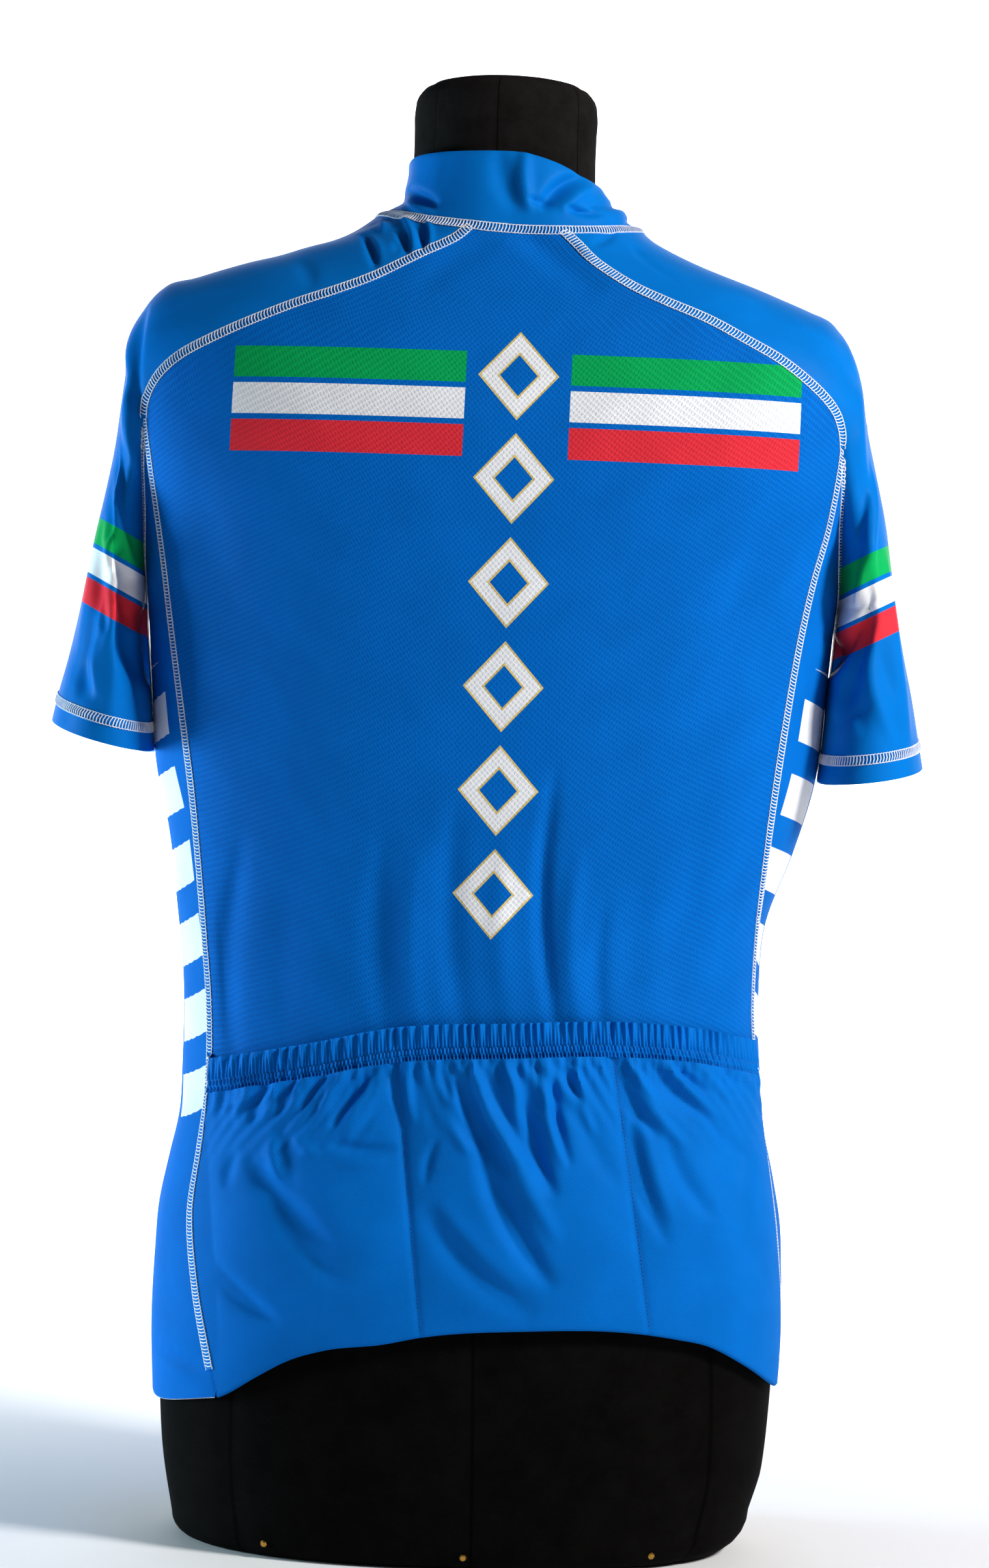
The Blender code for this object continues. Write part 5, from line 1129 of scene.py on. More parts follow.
# By the share of the way round: how far the wall departs outward and up at each level, in mm.
COLLAR_WALL = (
    (0.00, STRAIGHT),
    (0.06, STRAIGHT),
    (0.14, ((0, 0), (-1.0, 0), (-2.0, 0), (-2.6, 0), (-3.0, 0), (-3.0, 0), (-1.6, 0.4), (0, 0))),
    (0.25, ((0, 0), (-3.3, 0), (-6.0, 0.8), (-8.0, 2.0), (-10.0, 1.5), (-11.0, 1.0), (-6.5, 1.6),
            (0, 0))),
    (0.34, ((0, 0), (-1.6, 0), (-3.2, 0), (-4.2, 0), (-4.8, 0), (-4.4, 0), (-2.0, 0.5), (0, 0))),
    (0.44, ((0, 0), (0.2, 0), (0.2, 0), (0, 0), (-0.4, 0), (-0.6, 0), (-0.4, 0), (0, 0))),
    (0.55, ((0, 0), (0.6, 0), (1.0, 0), (0.8, 0), (0.4, 0), (0, 0), (-0.3, 0), (0, 0))),
    (0.65, ((0, 0), (-0.2, 0.3), (-0.6, 0.8), (-1.4, 0.8), (0.2, 1.6), (0.2, 1.4), (-1.0, 0.8),
            (0, 0))),
    (0.75, ((0, 0), (-2.6, 1.4), (-5.2, 3.4), (-7.4, 3.2), (-4.2, 4.8), (-4.4, 3.5), (-6.2, 1.9),
            (0, 0))),
    (0.86, ((0, 0), (-1.0, 0.3), (-2.0, 0.8), (-2.6, 0.8), (-2.4, 1.0), (-2.4, 0.8), (-1.6, 0.5),
            (0, 0))),
    (0.94, STRAIGHT),
    (1.00, STRAIGHT),
)
collar_top = share_path(COLLAR_TOP)


def collar_wall(share, up, way):
    """How far the wall departs outward (0) or up (1)."""
    at = [row[0] for row in COLLAR_WALL]
    levels = [smooth(at, [row[1][i][way] / 1000 for row in COLLAR_WALL])(share)
              for i in range(len(COLLAR_LEVELS))]
    levels = np.stack(levels[::-1])
    heights = np.array(COLLAR_LEVELS[::-1])
    return np.stack([smooth(heights, levels[:, i])(up) for i in range(len(share))], axis=-1)


def collar_points(row_count, column_count):
    """The collar's outer face, from its fold down and round from left to right."""
    share = np.linspace(0.0, 1.0, column_count)
    up = np.linspace(1.0, 0.0, row_count)
    low, high = neckline(share)[None], collar_top(share)[None]
    points = low + (high - low) * up[:, None, None]
    stand = unit(points * np.array([1.0, 1.0, 0.0]))
    # The fold at the top edge is rounded.
    round_over = 0.0007 * np.clip((up - 0.96) / 0.04, 0.0, 1.0)[:, None] ** 2
    out = collar_wall(share, up, 0) - round_over
    points = points + stand * out[..., None]
    points[..., 2] += collar_wall(share, up, 1)
    at_back = np.clip(points[..., 1] / 0.012, 0.0, 1.0) * np.clip(up / 0.06, 0.0, 1.0)[:, None]
    folds = creases(COLLAR_FOLDS, points[..., 0], points[..., 2]) * at_back
    return keep_clear(form_shape, points - stand * folds[..., None], COLLAR_CLOTH + 0.0006)


collar_grid = collar_points(34, 241)
collar = cloth_piece("collar_cloth", collar_grid, front_knit, thickness=COLLAR_CLOTH, turn=-1.0)
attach(collar, "garment_on_form")
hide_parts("collar")


# Pocket.  One patch of bird's-eye knit across the lower back, sewn down along the sides, the
# hem and two slanted lines that part it into three.  It is fuller than the back it lies on.
POCKET_GAP = 0.0010           # between its inner face and the back
POCKET_FULLNESS = 0.0080
POCKET_SIDES = (0.172, -0.186)         # x of either side seam at the pocket's top
GATHERED_WIDTH = 0.37
CRINKLE_PITCH = 0.0023
PLEAT_PITCH, PLEAT_DEPTH, PLEAT_LENGTH = 0.0105, 0.0015, 0.056
CHANNEL_HALF_WIDTH = 0.0018
POCKET_HEADING = 0.0130       # frill above the elastic
POCKET_ELASTIC = 0.0085
DIVIDERS = (         # x at the top, x at the hem, with their heights
    (0.0505, 0.328, 0.0281, 0.148), (-0.0830, 0.326, -0.1109, 0.1575),
)
POCKET_CREASES = (
    # the middle pocket: long folds that fall away to the right
    (0.0209, 0.3180, 0.0139, 0.2900, 0.0034, 0.0050, 0.0014),
    (0.0250, 0.3240, 0.0010, 0.2560, 0.0044, -0.0046, 0.0),
    (0.0113, 0.3100, -0.0230, 0.2440, 0.0056, 0.0060, 0.0026),
    (0.0060, 0.3260, -0.0250, 0.2560, 0.0042, -0.0038, 0.0),
    (-0.0010, 0.2740, -0.0520, 0.1760, 0.0078, 0.0074, 0.0036),
    (-0.0116, 0.3078, -0.0560, 0.2040, 0.0062, -0.0040, 0.0),
    (-0.0060, 0.3220, -0.0392, 0.2485, 0.0040, 0.0046, 0.0018),
    (-0.0180, 0.3280, -0.0380, 0.2640, 0.0038, -0.0036, 0.0),
    (-0.0290, 0.3000, -0.0510, 0.2330, 0.0054, 0.0078, 0.0028),
    (-0.0410, 0.3280, -0.0560, 0.2500, 0.0038, -0.0036, 0.0),
    (-0.0470, 0.3120, -0.0600, 0.2520, 0.0034, 0.0048, 0.0014),
    (-0.0530, 0.3240, -0.0660, 0.2900, 0.0028, 0.0040, 0.0012),
    (-0.0610, 0.3260, -0.0740, 0.2700, 0.0034, -0.0030, 0.0),
    (-0.0600, 0.2980, -0.0900, 0.2380, 0.0070, 0.0022, 0.0010),
    (0.0318, 0.2260, -0.0420, 0.1590, 0.0100, 0.0040, 0.0018),
    (0.0200, 0.2300, -0.0350, 0.1750, 0.0080, -0.0026, 0.0),
    (0.0300, 0.3100, -0.0020, 0.2620, 0.0050, 0.0036, 0.0016),
    (0.0410, 0.3240, 0.0360, 0.2740, 0.0040, -0.0034, 0.0),
    (0.0490, 0.3160, 0.0440, 0.2820, 0.0036, 0.0048, 0.0010),
    (0.0217, 0.2680, 0.0285, 0.2380, 0.0034, 0.0022, 0.0008),
    # the wearer's left pocket: folds that fall away to the left, over a slack hollow
    (0.0543, 0.3120, 0.0860, 0.2700, 0.0048, 0.0058, -0.0020),
    (0.0540, 0.3040, 0.0780, 0.2640, 0.0044, -0.0034, 0.0),
    (0.0640, 0.3240, 0.0930, 0.2800, 0.0038, -0.0044, 0.0),
    (0.0800, 0.3140, 0.1040, 0.2800, 0.0038, 0.0046, -0.0016),
    (0.0860, 0.3200, 0.1130, 0.2780, 0.0038, -0.0038, 0.0),
    (0.0985, 0.3100, 0.1190, 0.2760, 0.0036, 0.0050, -0.0016),
    (0.1040, 0.3160, 0.1270, 0.2720, 0.0036, -0.0042, 0.0),
    (0.1170, 0.3100, 0.1350, 0.2680, 0.0040, 0.0054, -0.0018),
    (0.1250, 0.3120, 0.1450, 0.2680, 0.0036, -0.0040, 0.0),
    (0.1390, 0.3060, 0.1590, 0.2680, 0.0040, 0.0048, -0.0016),
    (0.1460, 0.3080, 0.1640, 0.2740, 0.0032, -0.0030, 0.0),
    (0.1520, 0.3010, 0.1680, 0.2720, 0.0032, 0.0034, -0.0010),
    (0.1150, 0.2740, 0.1060, 0.2300, 0.0064, 0.0026, 0.0008),
    (0.1205, 0.2660, 0.1160, 0.2360, 0.0042, -0.0030, 0.0),
    (0.1080, 0.2640, 0.0900, 0.2520, 0.0040, -0.0022, 0.0),
    (0.0880, 0.2606, 0.0440, 0.2598, 0.0040, 0.0030, 0.0012),
    (0.0900, 0.2530, 0.0500, 0.2530, 0.0050, -0.0016, 0.0),
    (0.1390, 0.2520, 0.0820, 0.1960, 0.0090, 0.0050, 0.0026),
    (0.1250, 0.2240, 0.0740, 0.1740, 0.0090, 0.0036, 0.0018),
    (0.1440, 0.2540, 0.1510, 0.2280, 0.0046, 0.0032, 0.0010),
    (0.1620, 0.1840, 0.1120, 0.1480, 0.0062, 0.0040, 0.0018),
    (0.1000, 0.2400, 0.0420, 0.1880, 0.0160, -0.0018, 0.0),
    # the right pocket: folds from the divider out to the side seam
    (-0.0800, 0.3220, -0.1130, 0.2680, 0.0048, 0.0056, 0.0020),
    (-0.0900, 0.3260, -0.1300, 0.2620, 0.0042, -0.0044, 0.0),
    (-0.0990, 0.3200, -0.1440, 0.2800, 0.0042, 0.0050, 0.0016),
    (-0.1090, 0.3260, -0.1520, 0.2800, 0.0034, -0.0038, 0.0),
    (-0.1180, 0.3200, -0.1440, 0.2960, 0.0032, 0.0040, 0.0012),
    (-0.1280, 0.3250, -0.1580, 0.2900, 0.0030, -0.0032, 0.0),
    (-0.1440, 0.3200, -0.1720, 0.2960, 0.0034, 0.0038, 0.0012),
    (-0.1560, 0.3180, -0.1760, 0.2980, 0.0026, -0.0020, 0.0),
    (-0.0950, 0.2860, -0.1210, 0.2040, 0.0054, 0.0048, 0.0020),
    (-0.1010, 0.2900, -0.1260, 0.2160, 0.0054, -0.0030, 0.0),
    (-0.1150, 0.2740, -0.1490, 0.2180, 0.0058, 0.0046, 0.0018),
    (-0.1360, 0.2900, -0.1760, 0.2500, 0.0044, 0.0036, 0.0014),
    (-0.1730, 0.2640, -0.1700, 0.2080, 0.0060, 0.0030, 0.0),
    (-0.1500, 0.2400, -0.1540, 0.1900, 0.0090, -0.0020, 0.0),
)


def on_back(shares, levels):
    """Points of the back by the share of its width, and by level: 0 on the pocket's upper edge
    and 1 on the back's hem, or a length below the upper edge where it is negative."""
    columns = back_grid.shape[1]
    place = np.interp(shares, spread(columns), np.arange(columns))
    first = np.minimum(place.astype(int), columns - 2)
    step = (place - first)[None, :, None]
    lines = (back_grid[:, first] * (1 - step) + back_grid[:, first + 1] * step)[::-1]
    points = np.empty((len(levels), len(shares), 3))
    for j in range(len(shares)):
        x_line, y_line, z_line = lines[:, j].T
        x = np.full(len(levels), np.interp(0.25, z_line, x_line))
        for _ in range(3):
            top = pocket_top(x)
            z = np.where(levels < 0, top + levels, top + (back_hem(x) - top) * levels)
            x = np.interp(z, z_line, x_line)
        points[:, j] = np.stack([x, np.interp(z, z_line, y_line), z], axis=-1)
    return points


def divider_x(number, z):
    """Where a line of stitching between two pockets runs."""
    x_top, z_top, x_low, z_low = DIVIDERS[number]
    return x_low + (x_top - x_low) * np.clip((z - z_low) / (z_top - z_low), -0.1, 1.1)


def pocket_fullness(x, z):
    """How far the pocket stands off the back between its lines of stitching."""
    lean = 0.020 * np.clip((0.325 - z) / 0.18, 0.0, 1.0)
    left, right = POCKET_SIDES
    lines = [left - lean, divider_x(0, z), divider_x(1, z), right - lean]
    height = np.clip((pocket_top(x) - z) / (pocket_top(x) - back_hem(x)), 0.0, 1.0)
    full = np.zeros_like(x)
    for first, last in zip(lines, lines[1:]):
        share = np.clip((first - x) / (first - last), 0.0, 1.0)
        full = np.maximum(full, np.sin(math.pi * share) ** 0.7)
    return POCKET_FULLNESS * full ** 0.8 * np.sin(math.pi * height ** 0.62) ** 0.7


def gather_wave(shares, up):
    """The gathers of the heading, from -1 to 1: broad and slanted on the wearer's left, and
    finer towards the right."""
    pitch = np.interp(shares, (0.0, 0.12, 0.45, 0.62, 1.0),
                      (0.0048, 0.0052, 0.0060, 0.0070, 0.0080))
    phase = np.concatenate([[0.0], np.cumsum(2 * math.pi * GATHERED_WIDTH * np.diff(shares)
                                             / ((pitch[1:] + pitch[:-1]) / 2))])
    wander = 0.9 * np.sin(phase * 0.137 + 1.0) + 0.7 * np.sin(phase * 0.291)
    slant = up * np.interp(shares, (0.0, 0.5, 1.0), (-0.4, 0.5, 2.2))
    wave = np.sin(phase + wander + slant)
    return wave * (0.75 + 0.25 * np.sin(phase * 0.173 + 2.0))


def pocket_points(row_count, column_count):
    """The pocket's outer face, from right to left, and down from the elastic to the rolled edge."""
    share = 0.008 + 0.984 * np.linspace(0.0, 1.0, column_count)
    start = -(POCKET_HEADING + POCKET_ELASTIC + 0.0001)
    levels = np.concatenate([[start, start - 0.0015, start - 0.0035, start - 0.006],
                             np.linspace(0.150, 1.0, row_count - 4)])
    points = on_back(share, levels)
    x, z = points[..., 0], points[..., 2]
    fade = np.sin(math.pi * share) ** 0.3
    below = np.clip((pocket_top(x) + start - z) / 0.030, 0.0, 1.0)
    gathers = gather_wave(share, 0.0) * (1 - below) ** 1.6 * np.clip(below * 12, 0.15, 1.0)
    fine = np.sin(2 * math.pi * share * GATHERED_WIDTH / CRINKLE_PITCH)
    fine = fine * np.clip(1 - below * 8, 0.0, 1.0)
    # Deeper pleats run on from the gathers.  They spread away from the middle as they fade.
    down = pocket_top(x) + start - z
    slope = np.interp(x, (-0.13, -0.05, 0.03, 0.06, 0.12), (-0.9, -0.6, -0.3, 0.6, 0.9))
    pleats = np.sin((x - slope * down) * 2 * math.pi / PLEAT_PITCH + 1.6 * np.sin(x * 75.0))
    pleats = pleats * np.clip(1 - down / PLEAT_LENGTH, 0.0, 1.0) ** 1.3
    pleats = pleats * np.clip(down / 0.006, 0.0, 1.0)
    full = pocket_fullness(x, z) - creases(POCKET_CREASES, x, z) + PLEAT_DEPTH * pleats
    full = np.clip(full, 0.0, None) * fade + 0.0011 * (1 + gathers) * (1 - below) + 0.0002 * fine
    full = full + 0.0007 * np.clip((0.20 - z) / 0.05, 0.0, 1.0)
    # The lines of stitching hold the pocket down in narrow channels.
    for number in (0, 1):
        off = (x - divider_x(number, z)) / CHANNEL_HALF_WIDTH
        full = full * (1 - 0.75 * np.exp(-off ** 2))
    away, _ = outward(jersey, points)
    points = points + away * (CLOTH + POCKET_GAP + full)[..., None]
    turns = np.radians([50.0, 100.0, 150.0])[:, None, None]
    # The lower edge rolls in under the back panel.
    away, _ = outward(jersey, points[-1:])
    rolled = points[-1:] - 0.0015 * (1 - np.cos(turns)) * away
    rolled = rolled - 0.0019 * np.sin(np.minimum(turns, 1.57)) * np.array([0.0, 0.0, 1.0])
    return np.concatenate([points, rolled])


# A closer bird's-eye knit of small pits, a shade lighter than the back.
pocket_knit = knit_material("birdseye_knit", "#056AC5", 2.0, 1.3, 0.06, "#98A6CA", 0.62, 0.20)
pocket_grid = pocket_points(112, 260)
pocket = cloth_piece("back_pocket_cloth", pocket_grid, pocket_knit, straight=True)
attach(pocket, "garment_on_form")
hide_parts("back_pocket")


# Pocket's elastic band.  A narrow elastic is sewn in with two rows of stitches a little below
# the edge.  It shirrs the knit into fine crinkles, and the heading above stands up in gathers.
BAND_STITCHES = (0.0504, -0.0733, -0.0822)     # x of each line
ELASTIC_SEWN_AT = (0.16, 0.84)                 # by the share of the elastic's height
CRINKLE_DEPTH = 0.00055
GAPE = 0.0022                 # how far the pocket's mouth stands open


def band_points(column_count):
    """The band's outer face: the heading from its edge down, then the elastic."""
    share = 0.008 + 0.984 * np.linspace(0.0, 1.0, column_count)
    heading = np.linspace(0.0, 1.0, 8)
    elastic = np.linspace(0.0, 1.0, 10)[1:]
    levels = np.concatenate([-1e-6 - POCKET_HEADING * heading,
                             -POCKET_HEADING - POCKET_ELASTIC * elastic])
    points = on_back(share, levels)
    up = np.clip(1 + levels / POCKET_HEADING, 0.0, 1.0)[:, None]
    down = np.clip(-(levels + POCKET_HEADING) / POCKET_ELASTIC, 0.0, 1.0)[:, None]
    wave = gather_wave(share, up)
    phase = 2 * math.pi * share * GATHERED_WIDTH / CRINKLE_PITCH
    crinkle = np.sin(phase + 0.8 * np.sin(phase * 0.061) + 2.6 * np.round(2.4 * down))
    # Each of the two rows of stitches pulls the elastic in.
    sewn = sum(np.exp(-((down - at) / 0.10) ** 2) for at in ELASTIC_SEWN_AT)
    ends = np.clip(np.minimum(share, 1 - share) / 0.05, 0.15, 1.0)
    amount = 0.0018 + (0.0004 + 0.0013 * up ** 0.8) * wave * ends
    amount = amount + CRINKLE_DEPTH * crinkle * (1 - 0.85 * up) + 0.0005 * (1 - up) - 0.0005 * sewn
    # The lines of stitching that part the pockets run on up through the band.
    for x_sewn in BAND_STITCHES:
        amount = amount - 0.0016 * up ** 0.3 * np.exp(-((points[..., 0] - x_sewn) / 0.0013) ** 2)
    gape = GAPE * np.sin(math.pi * share) ** 0.5 * np.clip(up + 0.25 * (1 - down), 0.0, 1.0)
    away, _ = outward(jersey, points)
    return points + away * (CLOTH + POCKET_GAP + amount + gape)[..., None]


band_grid = band_points(1000)
band = cloth_piece("elastic_band_cloth", band_grid, pocket_knit, straight=True)
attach(band, "garment_on_form")
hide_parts("pocket_elastic_band")


# Flatlock seams.  Panels meet edge to edge, and white polyester threads lock them together: a
# looped chain along each edge and slanting threads between, flat enough to wear on the skin.
FLATLOCK_WIDTH = 0.0058
SIDE_SEAM_WIDTH = 0.0052
POCKET_LIFT = 0.0030           # the pocket's sewn edge lies over the back's
STITCH_PITCH = 0.0021
THREAD_RADIUS = 0.00026
COVER_THREAD_RADIUS = THREAD_RADIUS * 1.6      # two threads side by side
EDGES_THICKNESS = 0.0002
SEAM_CROWN = 0.0002            # how far the middle of a seam stands above its sides
EDGES_LIFT, RUNG_LIFT, CROWN_LIFT = 0.0003, 0.0004, 0.0007
LOOP_WOBBLE = 0.00025

def twist_thread(tree, shader):
    """The twist of a thread's plies, about 0.14 mm apart."""
    plies = add_node(tree, "ShaderNodeTexWave", {"bands_direction": "DIAGONAL"}, {
        "Vector": object_place(tree), "Scale": 2200.0, "Distortion": 1.0})
    add_bump(tree, shader, plies.outputs["Fac"], 0.4, 0.0001)


# Bright white with a soft lustre.  A little uneven soiling keeps it from looking painted.
thread_white, tree, shader = new_material("polyester_thread", roughness=0.55,
                                          specular_ior_level=0.3, sheen_weight=0.15)
twist_thread(tree, shader)
wear = add_node(tree, "ShaderNodeTexNoise", {}, {"Vector": object_place(tree), "Scale": 160.0})
shade = two_tone(tree, wear.outputs["Fac"], (0.35, "#DCE3F4"), (0.65, "#FAFBFF"))
tree.links.new(shade, shader.inputs["Base Color"])


def evenly(path, step):
    """A path's points again, a step apart."""
    lengths = np.linalg.norm(np.diff(path, axis=0), axis=-1)
    at = np.concatenate([[0.0], np.cumsum(lengths)])
    count = max(int(at[-1] / step), 2)
    marks = np.linspace(0.0, at[-1], count + 1)
    return np.stack([np.interp(marks, at, path[:, axis]) for axis in range(3)], axis=-1)


def surface_of(*grids):
    """Something to find the nearest point of several grids with."""
    verts, faces, first = [], [], 0
    for grid in grids:
        rows, columns = grid.shape[:2]
        ids = np.arange(rows * columns).reshape(rows, columns) + first
        quads = np.stack([ids[:-1, :-1], ids[:-1, 1:], ids[1:, 1:], ids[1:, :-1]], axis=-1)
        verts += [tuple(point) for point in grid.reshape(-1, 3)]
        faces += [tuple(int(i) for i in quad) for quad in quads.reshape(-1, 4)]
        first += rows * columns
    return BVHTree.FromPolygons(verts, faces)


def lie_on(surface, spots, away):
    """The nearest points of the surface, and its normals on the side of away."""
    places, normals = np.empty_like(spots), np.empty_like(spots)
    for i, spot in enumerate(spots):
        near, normal, _, _ = surface.find_nearest(Vector(spot))
        normal = np.array(normal)
        places[i] = near
        normals[i] = normal if normal @ away[i] > 0 else -normal
    return places, normals


def tube(path, radii, ups, sides=4):
    """Rings round a path, joined, with closed ends."""
    forward = unit(np.gradient(path, axis=0))
    across = unit(np.cross(forward, ups))
    over_it = np.cross(across, forward)
    radii = np.broadcast_to(np.asarray(radii, dtype=float), (len(path),))[:, None, None]
    turns = np.arange(sides) * 2 * math.pi / sides + math.pi / sides
    ring = (across[:, None] * np.cos(turns)[:, None] + over_it[:, None] * np.sin(turns)[:, None])
    verts = (path[:, None] + ring * radii).reshape(-1, 3)
    ids = np.arange(len(path) * sides).reshape(len(path), sides)
    turned = np.roll(ids, -1, axis=1)
    quads = np.stack([ids[:-1], ids[1:], turned[1:], turned[:-1]], axis=-1).reshape(-1, 4)
    faces = [tuple(int(i) for i in quad) for quad in quads]
    faces += [tuple(int(i) for i in ids[0]), tuple(int(i) for i in ids[-1][::-1])]
    return verts, faces


def add_threads(name, tubes, material):
    """Several tubes as one piece."""
    verts, faces, first = [], [], 0
    for tube_verts, tube_faces in tubes:
        verts.append(tube_verts)
        faces += [tuple(i + first for i in face) for face in tube_faces]
        first += len(tube_verts)
    piece = add_piece(name, np.concatenate(verts), faces, material)
    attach(piece, "garment_on_form")
    return piece


def flatlock(name, path, surface, away_at, width=FLATLOCK_WIDTH, lifts=(0.0, 0.0)):
    """The cut edges that meet in a seam, and the threads over them, along a path.  away_at
    gives the rough outward way, and lifts says how high above the path to look for the cloth
    under either edge."""
    points = evenly(path, STITCH_PITCH / 2)
    away = unit(away_at(points))
    forward = unit(np.gradient(points, axis=0))
    across = unit(np.cross(away, forward))
    middle, middle_normal = lie_on(surface, points, away)
    low, low_normal = lie_on(surface, points - across * width / 2 + away * lifts[0], away)
    high, high_normal = lie_on(surface, points + across * width / 2 + away * lifts[1], away)
    if max(lifts) > 0:
        middle = (low + high) / 2
    normal = unit(low_normal + middle_normal + high_normal)
    middle = middle + normal * SEAM_CROWN
    lift = normal * EDGES_LIFT
    strip = np.stack([low + low_normal * 0.00005, (low + middle) / 2 + lift, middle + lift,
                      (high + middle) / 2 + lift, high + high_normal * 0.00005], axis=1)
    strip = np.concatenate([strip[:-3:4], strip[-1:]])
    turn = np.sign(np.sum(grid_normals(strip)[:-1, 2] * away[:-3:4]))
    cover = cloth_piece(name + "_edges", strip, front_knit, thickness=EDGES_THICKNESS, turn=turn)
    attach(cover, "garment_on_form")
    count = np.arange(len(points))
    # The covering thread crosses at every stitch, so the seam looks like a ladder.
    over_edge, far_edge = low + normal * RUNG_LIFT, high + normal * RUNG_LIFT
    crown = middle + normal * CROWN_LIFT
    rungs = []
    for i in range(0, len(points) - 2, 2):
        rung = [(over_edge[i], i), (crown[i + 1], i + 1), (far_edge[i + 1], i + 1)]
        rungs += rung if i % 4 == 0 else rung[::-1]
    crossing = np.array([spot for spot, _ in rungs])
    tubes = [tube(crossing, COVER_THREAD_RADIUS, normal[[i for _, i in rungs]])]
    # Each needle leaves a chain of loops along its own edge.
    beads = np.where(count % 2 == 0, 1.5, 1.0) * THREAD_RADIUS
    for edge, edge_normal in ((low, low_normal), (high, high_normal)):
        wobble = across * np.where(count % 2 == 0, LOOP_WOBBLE, -LOOP_WOBBLE)[:, None]
        tubes.append(tube(edge + wobble + edge_normal * EDGES_LIFT, beads, edge_normal))
    return add_threads(name, tubes, thread_white)


def from_body(points):
    """The ways straight out of the body."""
    return outward(jersey, points)[0]


for side, word in SIDES:
    for facing, face in ((BACK, "back"), (FRONT, "front")):
        panel = back_grid if facing > 0 else front_grids[side]
        raglan = seam(side, facing, np.linspace(0.12, RAGLAN_END, 200))
        flatlock("raglan_%s_%s" % (face, word), raglan, surface_of(panel, sleeve_grids[side]),
                 from_body)
        down = seam(side, facing, np.linspace(RAGLAN_END, len(BACK_SEAM) - 1.7, 300))
        grids, lifts = [panel, side_grids[side]], (0.0, 0.0)
        if facing > 0:
            grids += [pocket_grid, band_grid]
            lifts = (0.0, POCKET_LIFT) if side > 0 else (POCKET_LIFT, 0.0)
        flatlock("side_seam_%s_%s" % (face, word), down, surface_of(*grids), from_body,
                 SIDE_SEAM_WIDTH, lifts)
    under = armhole(side, np.linspace(0.01, 0.99, 200))
    flatlock("armhole_" + word, under, surface_of(side_grids[side], sleeve_grids[side]),
             from_body, SIDE_SEAM_WIDTH)

neck_surface = surface_of(back_grid, collar_grid, *sleeve_grids.values(), *front_grids.values())


def from_neck(points):
    """The ways out of the neck, and up."""
    flat = points * np.array([1.0, 1.0, 0.0])
    return unit(flat) + np.array([0.0, 0.0, 0.8])


flatlock("neck_seam", neckline(np.linspace(0.004, 0.996, 400)), neck_surface, from_neck)

CUFF_SEAM_UP = 0.0150         # from the cuff's edge to the middle of its stitching


def up_from_edge(grid, height):
    """The line a given way up from a grid's lowest row."""
    path = []
    for line in np.moveaxis(grid, 1, 0)[:, ::-1]:
        at = np.concatenate([[0.0], np.cumsum(np.linalg.norm(np.diff(line, axis=0), axis=-1))])
        path.append([np.interp(height, at, line[:, axis]) for axis in range(3)])
    return np.array(path)


for side, word in SIDES:
    cuff = up_from_edge(sleeve_grids[side], CUFF_SEAM_UP)
    core = cuff.mean(axis=0)
    flatlock("cuff_seam_" + word, cuff, surface_of(sleeve_grids[side]),
             lambda points, core=core: (points - core) * np.array([1.0, 1.0, 0.2]))


# Hem and pocket stitching.  White overlock shows along the side panels' and fronts' raw hem.
# The pocket's dividers and its elastic are held by fine blue stitches.
# A shade darker than the knit, so that the stitches show as fine dashes.
thread_blue, tree, shader = new_material("blue_thread", base_color=linear("#0350A4"),
                                         roughness=0.6)
twist_thread(tree, shader)
OVERLOCK_PITCH = 0.0009
OVERLOCK_RADIUS = 0.00024
DASH_STEP = 0.0004
# Length of a stitch, gap to the next, thread radius and height over the cloth.
DIVIDER_STITCH = (0.0016, 0.0008, 0.00020, 0.0001)
ELASTIC_STITCH = (0.0012, 0.0008, 0.00018, 0.0001)
ELASTIC_ROWS = (9, 15)        # rows of the band's grid that are sewn


def overlock(name, edge):
    """Loops of thread over a raw edge."""
    points = evenly(edge, OVERLOCK_PITCH)
    away = from_body(points)
    count = np.arange(len(points))
    path = points - away * 0.0004 + away * np.where(count % 2 == 0, 0.0004, -0.0004)[:, None]
    path[:, 2] -= np.where(count % 2 == 0, 0.0001, 0.0004)
    return add_threads(name, [tube(path, OVERLOCK_RADIUS, away)], thread_white)


def dashes(path, away, length, gap, radius, lift):
    """Separate short stitches along a path."""
    points = evenly(path, DASH_STEP)
    normals = np.stack([np.interp(np.linspace(0, 1, len(points)), np.linspace(0, 1, len(path)),
                                  away[:, axis]) for axis in range(3)], axis=-1)
    per_stitch = int(round((length + gap) / DASH_STEP))
    shown = int(round(length / DASH_STEP))
    tubes = []
    for first in range(0, len(points) - per_stitch, per_stitch):
        run = points[first:first + shown + 1][:: max(shown // 3, 1)]
        ups = normals[first:first + shown + 1][:: max(shown // 3, 1)]
        rise = np.full((len(run), 1), lift)
        rise[0] = rise[-1] = -radius
        tubes.append(tube(run + ups * rise, radius, ups))
    return tubes


for side, word in SIDES:
    overlock("overlock_side_" + word, side_grids[side][-1])
    overlock("overlock_front_" + word, front_grids[side][-1])

